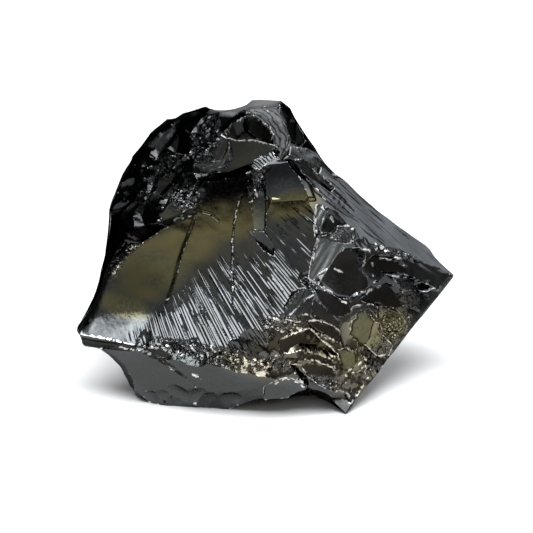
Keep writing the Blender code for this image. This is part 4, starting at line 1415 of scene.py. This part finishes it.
# Fine hackles: how far and how often across and along the fan they wander; the share of their width on the
# steep side, from plain to hackled; how often they stop and start; and from what noise to what they fade in.
HACKLE_WANDER, HACKLE_WANDERS = 3.0, (0.4, 0.03)
HACKLE_FALL = (0.14, 0.5)
HACKLE_BREAKS = (5.7, 0.28)
HACKLE_VIGOUR, HACKLE_STRENGTH = 0.10, (0.46, 0.62)
# The long streaks lie so, and come so often in a metre along, through and across, in so many layers.
STREAKS_TURN = math.radians(-40.0)
STREAKS_OFTEN = (260.0, 1500.0, 2600.0)
STREAKS_LAYERS = 3.0


def ring_wave(nodes, place):
    """From 0 in the grooves to 1 on the ribs of the finely ringed faces."""
    away = nodes.attribute("ring") + nodes.noise(place, *RING_NOISE) * RING_WANDER
    return nodes.math("ABSOLUTE", nodes.math("SINE", away * math.pi))


def cells(nodes, place, size, slope):
    """Height, in metres, of little flat facets that each tilt their own way."""
    inputs = {"Vector": place, "Scale": 1 / size}
    middle = nodes.add("ShaderNodeTexVoronoi", inputs, "Position")
    tint = nodes.add("ShaderNodeTexVoronoi", inputs, "Color")
    off = nodes.vector("SUBTRACT", place, middle)
    tilt = nodes.vector("SUBTRACT", tint, (0.5, 0.5, 0.5))
    return nodes.vector("DOT_PRODUCT", off, tilt, "Value") * slope


def hackle_height(nodes):
    """Height, in metres, of the fine hackles between the lances of the great face."""
    across, along, hackled = (nodes.attribute(name) for name in ("across", "along", "hackled"))

    def fan_noise(x, often):
        place = nodes.add("ShaderNodeCombineXYZ", {"X": x * often[0], "Y": along * often[1]})
        return nodes.noise(place, 1.0, 1.0)

    phase = across + fan_noise(across, HACKLE_WANDERS) * HACKLE_WANDER
    tooth = nodes.math("FRACT", phase)
    share = nodes.ramp(hackled, 0.0, 1.0, *HACKLE_FALL)
    vigour = fan_noise(nodes.math("FLOOR", phase), HACKLE_BREAKS) + hackled * HACKLE_VIGOUR
    ridge = nodes.math("MINIMUM", tooth / (1.0 - share), (1.0 - tooth) / share)
    return ridge * nodes.ramp(vigour, *HACKLE_STRENGTH) * hackled * FINE_HACKLE_HEIGHT


def streak_height(nodes, place):
    """Height, in metres, of the long fine streaks on the bands at the right."""
    turned_place = nodes.add("ShaderNodeMapping", {"Vector": place, "Rotation": (0.0, STREAKS_TURN, 0.0)})
    long_place = nodes.vector("MULTIPLY", turned_place, STREAKS_OFTEN)
    return nodes.noise(long_place, 1.0, STREAKS_LAYERS) * nodes.attribute("streaked") * FINE_STREAK_HEIGHT


def shungite():
    """Glossy black stone with a metallic sheen. Its colour paints highlights on edges and rims, shade in
    hollows, cracks, grooves and on the lower faces, a sheen on some faces, and olive and brown tints that are
    partly warm reflections.
    """
    material = bpy.data.materials.new("shungite")
    material.use_nodes = True
    nodes = Nodes(material.node_tree)
    place = nodes.add("ShaderNodeTexCoord", output="Object")
    cloud, grain, waves, mottle = (nodes.noise(place, *often) for often in (CLOUD, GRAIN, WAVES, MOTTLE))
    painted_shade, dulled_and_painted_shade, satin_and_painted_sheen, ringed, browned_and_painted_reflection = (
        nodes.attribute(name) for name in ("painted_shade", "dulled_and_painted_shade", "satin_and_painted_sheen", "ringed", "browned_and_painted_reflection")
    )
    wave = ring_wave(nodes, place)

    # Sharp edges and the rims are painted pale, as if crushed: painted highlights, fewer where the stone is
    # dulled or in painted shade.
    speckle = grain - 0.5
    edge = nodes.ramp(nodes.attribute("edge") + speckle * EDGE_SPECKLE, *EDGE_PALE)
    edge = edge * (1.0 - dulled_and_painted_shade * EDGE_DULLED)
    rim = nodes.ramp(nodes.attribute("rim") + speckle * RIM_SPECKLE, *RIM_PALE)
    edge = nodes.math("MAXIMUM", edge, rim) * (1.0 - painted_shade * EDGE_IN_PAINTED_SHADE)
    # The grooves of the fine rings are darkened: painted shade.
    groove = nodes.ramp(wave, *GROOVE) * ringed
    black = nodes.mix(nodes.ramp(cloud, *CLOUDED), DEEP_BLACK, BLACK)
    crushed_painted_highlight = nodes.mix(browned_and_painted_reflection, CRUSHED_PAINTED_HIGHLIGHT, CREAM_PAINTED_HIGHLIGHT)
    # The colour, mixed in turn: darker on the lower faces as painted shade; brown and olive tints, partly
    # painted warm reflections; a painted sheen; painted shade; and pale painted highlights.
    colour = black
    for where, tone in (
        (dulled_and_painted_shade, DULL_PAINTED_SHADE),
        (browned_and_painted_reflection, BROWN),
        (nodes.attribute("tarnish_and_painted_reflection"), OLIVE),
        (satin_and_painted_sheen, PAINTED_SHEEN_GREY),
        (nodes.math("MAXIMUM", painted_shade, groove * GROOVE_PAINTED_SHADE), PAINTED_SHADE),
        (edge, crushed_painted_highlight),
    ):
        colour = nodes.mix(where, colour, tone)

    roughness = nodes.ramp(grain, *POLISH_GRAIN, *POLISH)
    roughness = roughness + edge * EDGE_ROUGHER + dulled_and_painted_shade * DULL_ROUGHER + satin_and_painted_sheen * SATIN_ROUGHER

    crumbs = cells(nodes, place, *CRUMBS_BIG) + cells(nodes, place, *CRUMBS_SMALL)
    height = crumbs * nodes.attribute("crumbly") + hackle_height(nodes) + streak_height(nodes, place)
    height = height + wave * ringed * RING_HEIGHT + mottle * satin_and_painted_sheen * MOTTLE_HEIGHT
    height = height + waves * WAVE_HEIGHT + grain * GRAIN_HEIGHT

    shader = material.node_tree.nodes["Principled BSDF"]
    shader.inputs["Metallic"].default_value = 1.0
    nodes.feed(shader.inputs["Base Color"], colour)
    # Where painted shade lies, the stone hardly shines at a glancing angle either.
    nodes.feed(shader.inputs["Specular Tint"], nodes.mix(painted_shade, GLANCING, GLANCING_IN_PAINTED_SHADE))
    nodes.feed(shader.inputs["Roughness"], roughness)
    bump = nodes.add("ShaderNodeBump", {"Height": height, "Strength": 1.0, "Distance": 1.0})
    nodes.feed(shader.inputs["Normal"], bump)
    return material


FLOOR_COLOUR = (0.8, 0.8, 0.8, 1.0)
FLOOR_RADIUS = 0.32  # metres
FLOOR_SIDES = 96


def floor():
    """A plain pale floor."""
    bpy.ops.mesh.primitive_circle_add(vertices=FLOOR_SIDES, radius=FLOOR_RADIUS, fill_type="NGON")
    plane = bpy.context.object
    plane.name = "floor"
    material = bpy.data.materials.new("floor")
    material.use_nodes = True
    shader = material.node_tree.nodes["Principled BSDF"]
    shader.inputs["Base Color"].default_value = FLOOR_COLOUR
    shader.inputs["Roughness"].default_value = 1.0
    shader.inputs["Specular IOR Level"].default_value = 0.0
    plane.data.materials.append(material)


# The studio: panels of light round the stone, each with its azimuths (0 in front, 90 to the right), its
# elevations, how soft its rim is (all in degrees), its colour and its brightness.
PANELS = {
    "overhead": ((-84, 45), (55, 62), 2, (0.95, 0.99, 1.0), 8.5),
    "zenith": ((-110, 110), (62, 96), 3, (0.97, 0.99, 1.0), 8.5),
    "right front": ((12, 46), (24, 42), 5, (0.93, 1.0, 0.96), 1.0),
    "low warm": ((-80, -4), (14, 32), 6, (1.0, 0.95, 0.78), 0.62),
    "deep blue": ((-70, 10), (32, 55), 3, (0.9, 0.97, 1.0), 0.36),
    "right back": ((95, 150), (12, 44), 9, (0.94, 0.97, 1.0), 2.2),
    "back top": ((154, 194), (8, 62), 5, (1.0, 1.0, 1.0), 1.7),
    "right fill": ((52, 90), (16, 50), 8, (1.0, 0.90, 0.76), 0.16),
    "right low": ((8, 90), (-8, 16), 8, (1.0, 0.93, 0.82), 0.3),
}
AMBIENT = (0.03, 0.031, 0.033, 1.0)
BACKDROP = (1.0, 1.0, 1.0, 1.0)


def studio():
    """A world of soft panels. The camera itself sees a plain pale backdrop beyond the floor."""
    world = bpy.data.worlds.new("studio")
    bpy.context.scene.world = world
    world.use_nodes = True
    nodes = Nodes(world.node_tree)
    toward = nodes.add("ShaderNodeTexCoord", output="Generated")
    x, y, z = (nodes.add("ShaderNodeSeparateXYZ", {0: toward}, axis) for axis in "XYZ")
    azimuth = nodes.math("DEGREES", nodes.math("ARCTAN2", x, y * -1.0))
    elevation = nodes.math("DEGREES", nodes.math("ARCSINE", z))
    total = nodes.add("ShaderNodeRGB")
    total.socket.default_value = AMBIENT
    for (left, right), (low, high), soft, colour, strength in PANELS.values():
        middle, half = (left + right) / 2, (right - left) / 2
        aside = nodes.math("ABSOLUTE", nodes.math("WRAP", azimuth - middle, 180.0, -180.0))
        above = nodes.ramp(elevation, low - soft, low + soft)
        below = nodes.ramp(elevation, high + soft, high - soft)
        level = nodes.ramp(aside, half + soft, half - soft) * (above * below) * strength
        panel = nodes.add("ShaderNodeVectorMath", {0: colour, "Scale": level}, operation="SCALE")
        total = nodes.vector("ADD", total, panel)
    seen_by_camera = nodes.add("ShaderNodeLightPath", output="Is Camera Ray")
    background = world.node_tree.nodes["Background"]
    nodes.feed(background.inputs["Color"], nodes.mix(seen_by_camera, total, BACKDROP))


SENSOR_WIDTH = 36.0
CLIP_START = 0.01


def camera():
    """A long lens, 20 degrees above the floor, aimed at the frame's middle."""
    lens = bpy.data.cameras.new("camera")
    lens.sensor_width = SENSOR_WIDTH
    lens.lens = SENSOR_WIDTH * EYE / (IMAGE_SIDE / PIXELS_PER_MM)
    lens.clip_start = CLIP_START
    view = bpy.data.objects.new("camera", lens)
    view.location = (
        -MIDDLE[0] * MM,
        (-MIDDLE[1] - EYE * math.cos(FRONT_TILT)) * MM,
        (-FLOOR + EYE * math.sin(FRONT_TILT)) * MM,
    )
    view.rotation_euler = (math.pi / 2 - FRONT_TILT, 0.0, 0.0)
    bpy.context.collection.objects.link(view)
    bpy.context.scene.camera = view


nugget = make_nugget()
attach(nugget, "root")
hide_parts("nugget")
floor()
studio()
camera()
bpy.context.scene.view_settings.view_transform = "Standard"
